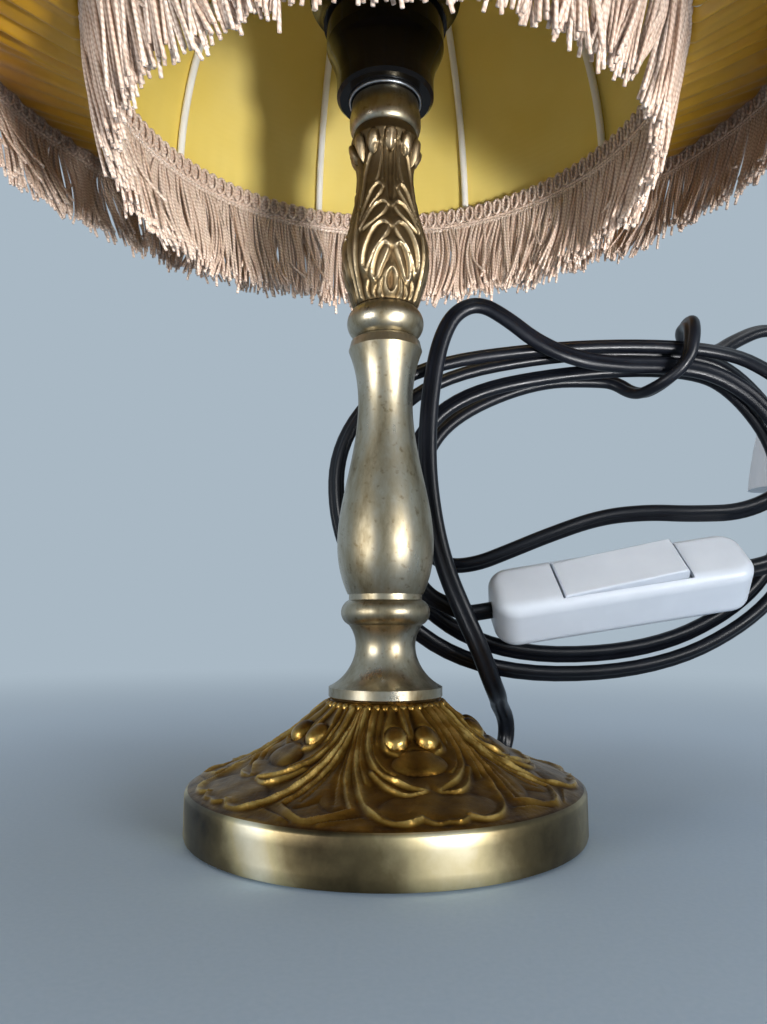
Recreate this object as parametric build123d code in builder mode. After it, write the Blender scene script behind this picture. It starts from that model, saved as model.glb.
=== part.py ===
from build123d import *
import math
import os

# Table lamp: turned brass column on a cast base, black holder, fringed double-walled shade,
# twin flex with an inline switch. Millimetres, +Z up, origin under the middle of the base.

# Fits
rod_clearance = 0.15
seat_gap = 0.1
running_gap = 0.06
loose_gap = 0.4

# Base
base_r = 44.0
rim_h = 9.5
rim_wall = 5.0
slope_h = 18.2
boss_r = 12.2
boss_h = 7.7
felt_ledge = 2.2
felt_h = 1.4
cord_z = 5.2
cord_azimuth = 57.0

# Threaded rod and what clamps it
rod_r = 5.0
rod_bore_r = 3.5
rod_tail = 5.4
flex_bend_r = 12.0
washer_r = 9.0
washer_h = 1.0
nut_across = 15.0
nut_h = 4.6

# Column, from the flange up to the ball collar
flange_r = 13.0
flange_h = 2.6
neck_h = 16.5
neck_waist_r = 7.0
neck_top_r = 8.5
lower_bead_r = 10.3
lower_bead_h = 7.0
baluster_h = 61.6
baluster_foot_r = 8.8
baluster_belly_r = 11.3
baluster_neck_r = 6.6
baluster_lip_r = 8.9
upper_bead_r = 9.3
upper_bead_h = 7.6
vase_h = 45.7
vase_foot_r = 7.5
vase_belly_r = 10.3
vase_neck_r = 6.9
vase_lip_r = 8.6
collar_h = 8.3
collar_r = 9.0

# Lampholder for a small screw lamp
cap_h = 21.6
cap_foot_r = 12.3
cap_r = 15.0
cap_wall = 2.1
cap_floor_h = 6.6
skirt_r = 13.9
skirt_h = 32.0
spigot_h = 7.6
shell_bore_r = 6.95
shell_wall = 1.0
shell_h = 26.0
shell_flange_r = 10.4
block_h = 10.0
contact_t = 0.6
contact_w = 4.0
terminal_r = 1.6
lower_ring_h = 9.0
lower_ring_r = 19.5
lower_ring_foot_r = 15.8
clamp_ring_h = 6.0
clamp_ring_r = 15.9
clamp_flute_r = 0.9
clamp_flutes = 18

# Shade frame and covering
carrier_r = 19.6
carrier_h = 1.2
arm_count = 3
arm_wire_r = 1.2
wire_r = 1.1
ring_wire_r = 1.5
rib_count = 9
rib_azimuth = 28.0
cover_azimuth = 48.0
rim_ring_r = 74.0
rim_drop = 23.1
dome_h = 90.0
belly_ring_r = 111.0
belly_rise = 17.9
top_ring_r = 36.0
cover_bulge = 15.0
lining_t = 0.6
cover_t = 0.8
cloth_gap = 0.3
fringe_t = 1.6
header_h = 6.8
header_t = 1.8
rim_fringe_drop = 34.6
rim_fringe_lean = 7.3
belly_fringe_drop = 31.8
belly_fringe_lean = 8.5
braid_h = 6.0
braid_t = 1.6

# Inline switch
switch_mid = (60.15, 20.0, 52.9)
switch_rise = 9.0
switch_tilt = 45.0
switch_l = 66.4
switch_w = 17.0
switch_d = 14.5
switch_wall = 1.6
switch_corner = 5.8
switch_edge = 3.2
rocker_l = 31.0
rocker_w = 12.6
rocker_t = 2.6
rocker_stand = 1.0
rocker_throw = 8.0
pivot_r = 1.5
pivot_z = 3.2
switch_screw_x = 25.0
switch_screw_r = 1.3
switch_head_r = 2.5
switch_head_h = 1.8
switch_boss_r = 3.2

# Plug
plug_mid = (122.0, 36.6)
plug_face_z = 82.0
plug_l = 35.0
plug_w = 35.0
plug_neck_w = 14.0
plug_d = 13.6
pin_r = 2.0
pin_l = 19.0
pin_spacing = 19.0

# Flex
cord_d = 4.2
coil_pitch = 5.0
coil_left = 6.0
coil_left_pitch = 10.5
coil_right = 107.0
coil_left_z = 80.0
coil_right_z = 76.0
coil_top_z = 113.6
coil_bottom_z = 36.2
coil_back_y = 25.5
coil_top_x = 78.0
coil_foot_x = 47.0

os.makedirs("parts", exist_ok=True)

# Heights worked out from the pieces stacked on the rod
rod_hole_r = rod_r + rod_clearance
base_top = rim_h + slope_h
boss_under = base_top - boss_h
neck_top = base_top + neck_h
lower_bead_top = neck_top + lower_bead_h
baluster_top = lower_bead_top + baluster_h
upper_bead_top = baluster_top + upper_bead_h
vase_top = upper_bead_top + vase_h
collar_top = vase_top + collar_h
cap_top = collar_top + cap_h
cap_floor = collar_top + cap_floor_h
skirt_top = cap_top + skirt_h
lower_ring_top = cap_top + seat_gap + lower_ring_h
carrier_z = lower_ring_top + seat_gap
clamp_z = carrier_z + carrier_h + seat_gap
rod_bottom = boss_under - washer_h - rod_tail
rod_top = cap_floor

# Heights of the shade's rings, measured from the carrier that the shade hangs on
rim_z = carrier_z - rim_drop
belly_z = rim_z + belly_rise
top_rise = dome_h * math.sqrt(1 - (top_ring_r / rim_ring_r) ** 2)
top_z = rim_z + top_rise

# Base: a hollow casting with a plain rim and an ogee slope up to the boss
rim_in_r = base_r - rim_wall
felt_seat_r = rim_in_r + felt_ledge
with BuildPart() as base_casting:
    with BuildSketch(Plane.XZ):
        with BuildLine():
            Polyline((felt_seat_r, 0), (base_r, 0), (base_r, rim_h))
            Line((base_r, rim_h), (base_r - 1.4, rim_h + 0.6))
            Spline(
                (base_r - 1.4, rim_h + 0.6),
                (boss_r + 0.64 * (base_r - boss_r), rim_h + 0.22 * slope_h),
                (boss_r + 0.28 * (base_r - boss_r), rim_h + 0.6 * slope_h),
                (boss_r, base_top),
            )
            Polyline((boss_r, base_top), (rod_hole_r, base_top), (rod_hole_r, boss_under))
            Polyline((rod_hole_r, boss_under), (boss_r, boss_under), (rim_in_r, rim_h - 2))
            Polyline((rim_in_r, rim_h - 2), (rim_in_r, felt_h), (felt_seat_r, felt_h), (felt_seat_r, 0))
        make_face()
    revolve(axis=Axis.Z)
    cord_way = Vector(math.cos(math.radians(cord_azimuth)), math.sin(math.radians(cord_azimuth)), 0)
    with BuildSketch(Plane(origin=(0, 0, cord_z), z_dir=cord_way)):
        Circle(cord_d / 2 + 1.0)
    extrude(amount=base_r + 1, mode=Mode.SUBTRACT)

with BuildPart() as base_felt:
    with BuildSketch():
        Circle(felt_seat_r - seat_gap)
    extrude(amount=felt_h)

# Bush: a sleeve in the rim with a collar outside, for the flex to pass through
bush_start = cord_way * (rim_in_r - 0.6) + Vector(0, 0, cord_z)
bush_collar = cord_way * (base_r + seat_gap) + Vector(0, 0, cord_z)
with BuildPart() as cord_bush:
    with BuildSketch(Plane(origin=bush_start, z_dir=cord_way)):
        Circle(cord_d / 2 + 0.9)
        Circle(cord_d / 2 + 0.05, mode=Mode.SUBTRACT)
    extrude(amount=rim_wall + 0.6 + seat_gap)
    with BuildSketch(Plane(origin=bush_collar, z_dir=cord_way)):
        Circle(cord_d / 2 + 1.9)
        Circle(cord_d / 2 + 0.05, mode=Mode.SUBTRACT)
    extrude(amount=1.4)

# Rod through the whole column, clamped under the boss by a washer and a nut
with BuildPart() as stem_rod:
    with BuildSketch(Plane.XY.offset(rod_bottom)):
        Circle(rod_r)
        Circle(rod_bore_r, mode=Mode.SUBTRACT)
    extrude(amount=rod_top - rod_bottom)

with BuildPart() as rod_washer:
    with BuildSketch(Plane.XY.offset(boss_under - washer_h)):
        Circle(washer_r)
        Circle(rod_hole_r, mode=Mode.SUBTRACT)
    extrude(amount=washer_h)

with BuildPart() as rod_nut:
    with BuildSketch(Plane.XY.offset(boss_under - washer_h - nut_h)):
        RegularPolygon(nut_across / 2, 6, major_radius=False)
        Circle(rod_hole_r, mode=Mode.SUBTRACT)
    extrude(amount=nut_h)

# Flex inside the base and up the rod to the holder
with BuildPart() as inner_flex:
    with BuildLine(Plane((0, 0, 0), x_dir=cord_way, z_dir=cord_way.cross(Vector(0, 0, 1)))):
        inner_route = FilletPolyline(
            (rim_in_r - 0.6, cord_z),
            (0, cord_z),
            (0, cap_floor + 2),
            radius=flex_bend_r,
        )
    with BuildSketch(Plane(origin=inner_route @ 0, z_dir=inner_route % 0)):
        Circle(cord_d / 2)
    sweep(path=inner_route)

# Column: turned pieces threaded on the rod
with BuildPart() as flange_neck:
    with BuildSketch(Plane.XZ):
        with BuildLine():
            Polyline((rod_hole_r, base_top), (flange_r - 0.6, base_top), (flange_r, base_top + 0.6))
            Line((flange_r, base_top + 0.6), (flange_r, base_top + flange_h))
            Spline(
                (flange_r, base_top + flange_h),
                (neck_waist_r + 1.6, base_top + flange_h + 3.8),
                (neck_waist_r, base_top + 10.4),
                (neck_top_r, neck_top),
            )
            Polyline((neck_top_r, neck_top), (rod_hole_r, neck_top), (rod_hole_r, base_top))
        make_face()
    revolve(axis=Axis.Z)

with BuildPart() as lower_bead:
    with BuildSketch(Plane.XZ):
        with BuildLine():
            bead_top = lower_bead_top - 1.3
            Line((rod_hole_r, neck_top), (neck_top_r, neck_top))
            ThreePointArc(
                (neck_top_r, neck_top),
                (lower_bead_r, (neck_top + bead_top) / 2),
                (neck_top_r, bead_top),
            )
            Polyline((neck_top_r, bead_top), (neck_top_r, lower_bead_top), (rod_hole_r, lower_bead_top))
            Line((rod_hole_r, lower_bead_top), (rod_hole_r, neck_top))
        make_face()
    revolve(axis=Axis.Z)

with BuildPart() as baluster:
    with BuildSketch(Plane.XZ):
        with BuildLine():
            Line((rod_hole_r, lower_bead_top), (baluster_foot_r, lower_bead_top))
            Spline(
                (baluster_foot_r, lower_bead_top),
                (baluster_belly_r, lower_bead_top + 0.19 * baluster_h),
                ((baluster_belly_r + baluster_neck_r) / 2 - 0.4, lower_bead_top + 0.48 * baluster_h),
                (baluster_neck_r, lower_bead_top + 0.7 * baluster_h),
                (baluster_lip_r, baluster_top - 3.1),
            )
            Polyline((baluster_lip_r, baluster_top - 3.1), (baluster_lip_r - 0.5, baluster_top - 1))
            Line((baluster_lip_r - 0.5, baluster_top - 1), (baluster_neck_r + 0.4, baluster_top))
            Polyline((baluster_neck_r + 0.4, baluster_top), (rod_hole_r, baluster_top))
            Line((rod_hole_r, baluster_top), (rod_hole_r, lower_bead_top))
        make_face()
    revolve(axis=Axis.Z)

with BuildPart() as upper_bead:
    with BuildSketch(Plane.XZ):
        with BuildLine():
            Line((rod_hole_r, baluster_top), (baluster_neck_r + 0.6, baluster_top))
            ThreePointArc(
                (baluster_neck_r + 0.6, baluster_top),
                (upper_bead_r, baluster_top + 3.3),
                (vase_foot_r - 0.4, upper_bead_top),
            )
            Polyline((vase_foot_r - 0.4, upper_bead_top), (rod_hole_r, upper_bead_top))
            Line((rod_hole_r, upper_bead_top), (rod_hole_r, baluster_top))
        make_face()
    revolve(axis=Axis.Z)

with BuildPart() as leaf_vase:
    with BuildSketch(Plane.XZ):
        with BuildLine():
            Line((rod_hole_r, upper_bead_top), (vase_foot_r, upper_bead_top))
            Spline(
                (vase_foot_r, upper_bead_top),
                (vase_belly_r, upper_bead_top + 0.26 * vase_h),
                (vase_neck_r + 0.7, upper_bead_top + 0.57 * vase_h),
                (vase_neck_r, upper_bead_top + 0.78 * vase_h),
                (vase_lip_r, vase_top - 2.9),
            )
            Polyline((vase_lip_r, vase_top - 2.9), (vase_lip_r - 0.6, vase_top), (rod_hole_r, vase_top))
            Line((rod_hole_r, vase_top), (rod_hole_r, upper_bead_top))
        make_face()
    revolve(axis=Axis.Z)

with BuildPart() as ball_collar:
    with BuildSketch(Plane.XZ):
        with BuildLine():
            Line((rod_hole_r, vase_top), (collar_r - 1.2, vase_top))
            ThreePointArc(
                (collar_r - 1.2, vase_top),
                (collar_r, vase_top + 2.6),
                (collar_r - 1.2, vase_top + 5.4),
            )
            Polyline((collar_r - 1.2, vase_top + 5.4), (collar_r - 0.6, collar_top), (rod_hole_r, collar_top))
            Line((rod_hole_r, collar_top), (rod_hole_r, vase_top))
        make_face()
    revolve(axis=Axis.Z)

# Lampholder: cap, skirt, contact block, screw shell and contacts
cap_cup_r = cap_foot_r - cap_wall
cap_bore_r = cap_r - cap_wall
cap_ledge = cap_top - spigot_h - seat_gap
cap_neck_r = collar_r - 0.4
spigot_r = cap_bore_r - seat_gap
spigot_foot = cap_top - spigot_h
with BuildPart() as holder_cap:
    with BuildSketch(Plane.XZ):
        with BuildLine():
            Polyline((rod_hole_r, collar_top), (cap_neck_r, collar_top), (cap_neck_r, collar_top + 1.2))
            Line((cap_neck_r, collar_top + 1.2), (cap_foot_r - 0.8, collar_top + 1.2))
            Line((cap_foot_r - 0.8, collar_top + 1.2), (cap_foot_r, collar_top + 2))
            Line((cap_foot_r, collar_top + 2), (cap_foot_r, collar_top + 6))
            ThreePointArc(
                (cap_foot_r, collar_top + 6),
                (cap_foot_r + 0.7, collar_top + 10.4),
                (cap_r - 0.8, collar_top + 13.4),
            )
            Polyline((cap_r - 0.8, collar_top + 13.4), (cap_r, collar_top + 15.4), (cap_r, cap_top))
            Polyline((cap_r, cap_top), (cap_bore_r, cap_top), (cap_bore_r, cap_ledge), (cap_cup_r, cap_ledge))
            Polyline((cap_cup_r, cap_ledge), (cap_cup_r, cap_floor), (rod_hole_r, cap_floor))
            Line((rod_hole_r, cap_floor), (rod_hole_r, collar_top))
        make_face()
    revolve(axis=Axis.Z)

block_top = cap_floor + block_h
with BuildPart() as contact_block:
    with BuildSketch(Plane.XY.offset(cap_floor)):
        Circle(cap_cup_r - seat_gap)
        Circle(rod_bore_r, mode=Mode.SUBTRACT)
    extrude(amount=block_h)

shell_r = shell_bore_r + shell_wall
shell_z = skirt_top - shell_h - 1.0
shell_ledge = shell_z + shell_wall
shell_top = shell_z + shell_h
skirt_bore_r = shell_r + seat_gap
skirt_cup_r = shell_flange_r + seat_gap
with BuildPart() as holder_skirt:
    with BuildSketch(Plane.XZ):
        with BuildLine():
            Line((skirt_cup_r, spigot_foot), (spigot_r, spigot_foot))
            Polyline((spigot_r, spigot_foot), (spigot_r, cap_top), (skirt_r, cap_top), (skirt_r, skirt_top))
            Polyline((skirt_r, skirt_top), (skirt_bore_r, skirt_top), (skirt_bore_r, shell_ledge))
            Polyline((skirt_bore_r, shell_ledge), (skirt_cup_r, shell_ledge), (skirt_cup_r, spigot_foot))
        make_face()
    revolve(axis=Axis.Z)

with BuildPart() as socket_shell:
    with BuildSketch(Plane.XZ):
        with BuildLine():
            Polyline((shell_bore_r, shell_z), (shell_flange_r, shell_z), (shell_flange_r, shell_ledge))
            Polyline((shell_flange_r, shell_ledge), (shell_r, shell_ledge), (shell_r, shell_top))
            Polyline((shell_r, shell_top), (shell_bore_r, shell_top), (shell_bore_r, shell_z))
        make_face()
    revolve(axis=Axis.Z)

# Centre contact: a sprung strip that rises over the middle of the block, just under the shell
terminal_x = (rod_bore_r + cap_cup_r) / 2
strip_out = terminal_x + contact_w / 2
strip_in = terminal_x - contact_w / 2
strip_top = block_top + contact_t
tongue_z = shell_z - 1.0 - contact_t
with BuildPart() as centre_contact:
    with BuildSketch(Plane.XZ):
        with BuildLine():
            Polyline((-strip_out, block_top), (-rod_bore_r, block_top), (0.6, tongue_z), (3.2, tongue_z - 1))
            Line((3.2, tongue_z - 1), (3.2, tongue_z - 1 + contact_t))
            Line((3.2, tongue_z - 1 + contact_t), (0.6, tongue_z + contact_t))
            Line((0.6, tongue_z + contact_t), (-rod_bore_r - 0.3, strip_top))
            Polyline((-rod_bore_r - 0.3, strip_top), (-strip_out, strip_top), (-strip_out, block_top))
        make_face()
    extrude(amount=contact_w / 2, both=True)
    with BuildSketch(Plane.XY.offset(block_top)):
        with Locations((-terminal_x, 0)):
            Circle(terminal_r + seat_gap)
    extrude(amount=contact_t, mode=Mode.SUBTRACT)

# Side contact: a bent strip from the block up to the underside of the screw shell
with BuildPart() as side_contact:
    with BuildSketch(Plane.XZ):
        with BuildLine():
            Polyline((strip_in, block_top), (strip_out, block_top), (strip_out, shell_z - seat_gap))
            Line((strip_out, shell_z - seat_gap), (strip_out - contact_t, shell_z - seat_gap))
            Polyline((strip_out - contact_t, shell_z - seat_gap), (strip_out - contact_t, strip_top))
            Polyline((strip_out - contact_t, strip_top), (strip_in, strip_top), (strip_in, block_top))
        make_face()
    extrude(amount=contact_w / 2, both=True)

with BuildPart() as terminal_screws:
    with BuildSketch(Plane.XY.offset(strip_top)):
        with Locations((-terminal_x, 0), (terminal_x - 0.5, 0)):
            Circle(terminal_r)
    extrude(amount=1.2)

# Lower shade ring: flared, screwed on the skirt down to the cap
with BuildPart() as shade_ring:
    with BuildSketch(Plane.XZ):
        with BuildLine():
            ring_foot = cap_top + seat_gap
            Polyline((skirt_r + seat_gap, ring_foot), (lower_ring_foot_r, ring_foot))
            ThreePointArc(
                (lower_ring_foot_r, ring_foot),
                (lower_ring_foot_r + 0.9, ring_foot + 0.55 * lower_ring_h),
                (lower_ring_r, lower_ring_top - 1.2),
            )
            Polyline((lower_ring_r, lower_ring_top - 1.2), (lower_ring_r, lower_ring_top))
            Polyline((lower_ring_r, lower_ring_top), (skirt_r + seat_gap, lower_ring_top))
            Line((skirt_r + seat_gap, lower_ring_top), (skirt_r + seat_gap, ring_foot))
        make_face()
    revolve(axis=Axis.Z)

# Upper ring: fluted for the fingers, it screws down on the carrier
with BuildPart() as clamp_ring:
    with BuildSketch(Plane.XY.offset(clamp_z)):
        Circle(clamp_ring_r)
        Circle(skirt_r + running_gap, mode=Mode.SUBTRACT)
        with PolarLocations(clamp_ring_r + 0.2, clamp_flutes):
            Circle(clamp_flute_r, mode=Mode.SUBTRACT)
    extrude(amount=clamp_ring_h)

# Shade frame: carrier and arms, three rings and the ribs between them
with BuildPart() as carrier_ring:
    with BuildSketch(Plane.XY.offset(carrier_z)):
        Circle(carrier_r)
        Circle(skirt_r + loose_gap, mode=Mode.SUBTRACT)
    extrude(amount=carrier_h)

arm_foot_r = carrier_r - arm_wire_r - 0.5
arm_head_r = top_ring_r - ring_wire_r - arm_wire_r - seat_gap
with BuildPart() as carrier_arm:
    with BuildLine(Plane.XZ):
        arm_route = FilletPolyline(
            (arm_foot_r, carrier_z + carrier_h),
            (arm_foot_r, carrier_z + carrier_h + 14),
            (arm_head_r, top_z - 14),
            (arm_head_r, top_z),
            radius=14,
        )
    with BuildSketch(Plane(origin=arm_route @ 0, z_dir=arm_route % 0)):
        Circle(arm_wire_r)
    sweep(path=arm_route)
with BuildPart() as carrier_arms:
    with PolarLocations(0, arm_count, start_angle=30):
        add(carrier_arm.part)

with BuildPart() as rim_ring:
    with Locations((0, 0, rim_z)):
        Torus(rim_ring_r, ring_wire_r)
with BuildPart() as belly_ring:
    with Locations((0, 0, belly_z)):
        Torus(belly_ring_r, ring_wire_r)
with BuildPart() as top_ring:
    with Locations((0, 0, top_z)):
        Torus(top_ring_r, ring_wire_r)

# Lining ribs lie on an ellipse that stands on the rim ring and carries the top ring
wire_gap = ring_wire_r + seat_gap
top_turn = math.acos(top_ring_r / rim_ring_r)
top_speed = math.hypot(rim_ring_r * math.sin(top_turn), dome_h * math.cos(top_turn))
rib_start = math.degrees(math.asin(wire_gap / dome_h))
rib_end = math.degrees(top_turn - wire_gap / top_speed)
with BuildPart() as lining_rib:
    with BuildLine(Plane.XZ):
        rib_arc = rib_end - rib_start
        rib_route = EllipticalCenterArc((0, rim_z), rim_ring_r, dome_h, rib_start, arc_size=rib_arc)
    with BuildSketch(Plane(origin=rib_route @ 0, z_dir=rib_route % 0)):
        Circle(wire_r)
    sweep(path=rib_route)
with BuildPart() as lining_ribs:
    with PolarLocations(0, rib_count, start_angle=rib_azimuth):
        add(lining_rib.part)

# Struts run from the rim ring out to the belly ring
strut_turn = math.degrees(math.atan2(belly_rise, belly_ring_r - rim_ring_r))
strut_l = math.hypot(belly_rise, belly_ring_r - rim_ring_r) - 2 * wire_gap
with BuildPart() as cover_strut:
    with BuildLine(Plane.XZ):
        strut_foot = Vector(rim_ring_r, rim_z) + Vector(wire_gap, 0).rotate(Axis.Z, strut_turn)
        strut_route = PolarLine((strut_foot.X, strut_foot.Y), strut_l, strut_turn)
    with BuildSketch(Plane(origin=strut_route @ 0, z_dir=strut_route % 0)):
        Circle(wire_r)
    sweep(path=strut_route)
with BuildPart() as cover_struts:
    with PolarLocations(0, rib_count, start_angle=cover_azimuth):
        add(cover_strut.part)

# Crown ribs bulge from the belly ring on one arc and lie on top of the top ring
crown_top_z = top_z + ring_wire_r + wire_r + seat_gap
crown_chord = math.hypot(belly_ring_r - top_ring_r, crown_top_z - belly_z)
crown_r = crown_chord**2 / (8 * cover_bulge) + cover_bulge / 2
crown_normal = math.atan2(belly_ring_r - top_ring_r, crown_top_z - belly_z)
crown_centre = (
    (belly_ring_r + top_ring_r) / 2 - (crown_r - cover_bulge) * math.cos(crown_normal),
    (belly_z + crown_top_z) / 2 - (crown_r - cover_bulge) * math.sin(crown_normal),
)
crown_start = math.degrees(math.atan2(belly_z - crown_centre[1], belly_ring_r - crown_centre[0]))
crown_end = math.degrees(math.atan2(crown_top_z - crown_centre[1], top_ring_r - crown_centre[0]))
crown_trim = math.degrees(wire_gap / crown_r)
crown_sweep = crown_end - crown_start
with BuildPart() as crown_rib:
    with BuildLine(Plane.XZ):
        crown_route = CenterArc(crown_centre, crown_r, crown_start + crown_trim, crown_sweep - crown_trim)
    with BuildSketch(Plane(origin=crown_route @ 0, z_dir=crown_route % 0)):
        Circle(wire_r)
    sweep(path=crown_route)
with BuildPart() as crown_ribs:
    with PolarLocations(0, rib_count, start_angle=cover_azimuth):
        add(crown_rib.part)

# Lining: a satin dome just outside its ribs, from above the rim ring to below the top ring
lining_out = wire_r + cloth_gap
lining_from = math.degrees(math.asin((ring_wire_r + 3 * cloth_gap) / dome_h))
lining_to = math.degrees(top_turn - (ring_wire_r + 2 * cloth_gap) / top_speed)
with BuildPart() as shade_lining:
    with BuildSketch(Plane.XZ):
        with BuildLine():
            inside = EllipticalCenterArc(
                (0, rim_z),
                rim_ring_r + lining_out,
                dome_h + lining_out,
                lining_from,
                arc_size=lining_to - lining_from,
            )
            outside = EllipticalCenterArc(
                (0, rim_z),
                rim_ring_r + lining_out + lining_t,
                dome_h + lining_out + lining_t,
                lining_from,
                arc_size=lining_to - lining_from,
            )
            Line(inside @ 0, outside @ 0)
            Line(inside @ 1, outside @ 1)
        make_face()
    revolve(axis=Axis.Z)

# Cover: gathered cloth under the struts, round the belly ring and over the crown ribs
cover_in = ring_wire_r + cloth_gap
cover_out = cover_in + cover_t
under_turn = strut_turn - 90
with BuildPart() as shade_cover:
    with BuildSketch(Plane.XZ):
        with BuildLine():
            rolls = []
            for reach in (cover_in, cover_out):
                rim_edge = Vector(rim_ring_r, rim_z) + Vector(reach, 0).rotate(Axis.Z, under_turn)
                roll = CenterArc((belly_ring_r, belly_z), reach, under_turn, crown_start - under_turn)
                Line((rim_edge.X, rim_edge.Y), roll @ 0)
                crown = CenterArc(crown_centre, crown_r + reach, crown_start, crown_sweep)
                rolls.append(((rim_edge.X, rim_edge.Y), crown @ 1))
            Line(rolls[0][0], rolls[1][0])
            Line(rolls[0][1], rolls[1][1])
        make_face()
    revolve(axis=Axis.Z)

# Braid on the upper edge of the cover
braid_in = crown_r + cover_out + cloth_gap
braid_sweep = math.degrees(braid_h / braid_in)
with BuildPart() as top_braid:
    with BuildSketch(Plane.XZ):
        with BuildLine():
            braid_under = CenterArc(crown_centre, braid_in, crown_end, -braid_sweep)
            braid_over = CenterArc(crown_centre, braid_in + braid_t, crown_end, -braid_sweep)
            Line(braid_under @ 0, braid_over @ 0)
            Line(braid_under @ 1, braid_over @ 1)
        make_face()
    revolve(axis=Axis.Z)

# Fringes: a looped header with a curtain of strands that leans inwards. The rim header lies
# inside the rim ring and hides it.
rim_head = rim_z + ring_wire_r
rim_head_r = rim_ring_r - ring_wire_r - cloth_gap - header_t / 2
with BuildPart() as rim_fringe:
    with BuildSketch(Plane.XZ):
        with BuildLine():
            Polyline(
                (rim_head_r - header_t / 2, rim_head - header_h),
                (rim_head_r - header_t / 2, rim_head),
                (rim_head_r + header_t / 2, rim_head),
                (rim_head_r + header_t / 2, rim_head - header_h),
                (rim_head_r + fringe_t / 2 - rim_fringe_lean, rim_head - rim_fringe_drop),
                (rim_head_r - fringe_t / 2 - rim_fringe_lean, rim_head - rim_fringe_drop),
                close=True,
            )
        make_face()
    revolve(axis=Axis.Z)

belly_head = belly_z + cloth_gap
belly_head_r = belly_ring_r + cover_out + cloth_gap
with BuildPart() as belly_fringe:
    with BuildSketch(Plane.XZ):
        with BuildLine():
            Polyline(
                (belly_head_r, belly_head - header_h),
                (belly_head_r, belly_head),
                (belly_head_r + header_t, belly_head),
                (belly_head_r + header_t, belly_head - header_h),
                (belly_head_r + header_t - belly_fringe_lean, belly_head - belly_fringe_drop),
                (belly_head_r + header_t - fringe_t - belly_fringe_lean, belly_head - belly_fringe_drop),
                close=True,
            )
        make_face()
    revolve(axis=Axis.Z)

# Inline switch: two shells, a rocker on a pivot, contacts and screws, all in the switch's own plane
rise = math.radians(switch_rise)
tilt = math.radians(switch_tilt)
switch_x = Vector(math.cos(rise), 0, math.sin(rise))
switch_z = Vector(-math.sin(rise) * math.cos(tilt), -math.sin(tilt), math.cos(rise) * math.cos(tilt))
switch_plane = Plane(origin=switch_mid, x_dir=switch_x, z_dir=switch_z)
switch_y = switch_plane.y_dir
shell_z_half = switch_d / 2
slot_l = rocker_l + 2.0
slot_w = rocker_w + 2 * loose_gap
with BuildPart() as switch_base:
    with BuildSketch(switch_plane):
        RectangleRounded(switch_l, switch_w, switch_corner)
    extrude(amount=-shell_z_half)
    fillet(switch_base.faces().sort_by(Axis(switch_mid, switch_z))[0].edges(), switch_edge)
    with BuildSketch(switch_plane):
        RectangleRounded(switch_l - 2 * switch_wall, switch_w - 2 * switch_wall, switch_corner - switch_wall)
        with Locations((-switch_screw_x, 0), (switch_screw_x, 0)):
            Circle(switch_boss_r, mode=Mode.SUBTRACT)
    extrude(amount=-(shell_z_half - switch_wall), mode=Mode.SUBTRACT)
    with BuildSketch(switch_plane):
        with Locations((-switch_screw_x, 0), (switch_screw_x, 0)):
            Circle(switch_screw_r + seat_gap)
    extrude(amount=-shell_z_half, mode=Mode.SUBTRACT)
    with BuildSketch(switch_plane.offset(-shell_z_half)):
        with Locations((-switch_screw_x, 0), (switch_screw_x, 0)):
            Circle(switch_head_r + seat_gap)
    extrude(amount=switch_head_h + 0.6, mode=Mode.SUBTRACT)

with BuildPart() as switch_cover:
    with BuildSketch(switch_plane):
        RectangleRounded(switch_l, switch_w, switch_corner)
    extrude(amount=shell_z_half)
    fillet(switch_cover.faces().sort_by(Axis(switch_mid, switch_z))[-1].edges(), switch_edge)
    with BuildSketch(switch_plane):
        RectangleRounded(switch_l - 2 * switch_wall, switch_w - 2 * switch_wall, switch_corner - switch_wall)
        with Locations((-switch_screw_x, 0), (switch_screw_x, 0)):
            Circle(switch_boss_r, mode=Mode.SUBTRACT)
    extrude(amount=shell_z_half - switch_wall, mode=Mode.SUBTRACT)
    with BuildSketch(switch_plane):
        with Locations((-switch_screw_x, 0), (switch_screw_x, 0)):
            Circle(switch_screw_r + seat_gap)
    extrude(amount=shell_z_half - switch_wall, mode=Mode.SUBTRACT)
    with BuildSketch(switch_plane.offset(shell_z_half - switch_wall)):
        Rectangle(slot_l, slot_w)
    extrude(amount=switch_wall, mode=Mode.SUBTRACT)
    pivot_origin = switch_plane.from_local_coords(Vector(0, 0, pivot_z))
    pivot_plane = Plane(origin=pivot_origin, x_dir=switch_x, z_dir=switch_y)
    with BuildSketch(pivot_plane):
        Circle(pivot_r + 0.02)
    extrude(amount=switch_w / 2 - switch_wall / 2, both=True, mode=Mode.SUBTRACT)

with BuildPart() as rocker_pin:
    with BuildSketch(pivot_plane):
        Circle(pivot_r)
    extrude(amount=switch_w / 2 - switch_wall / 2 - seat_gap, both=True)

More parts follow.
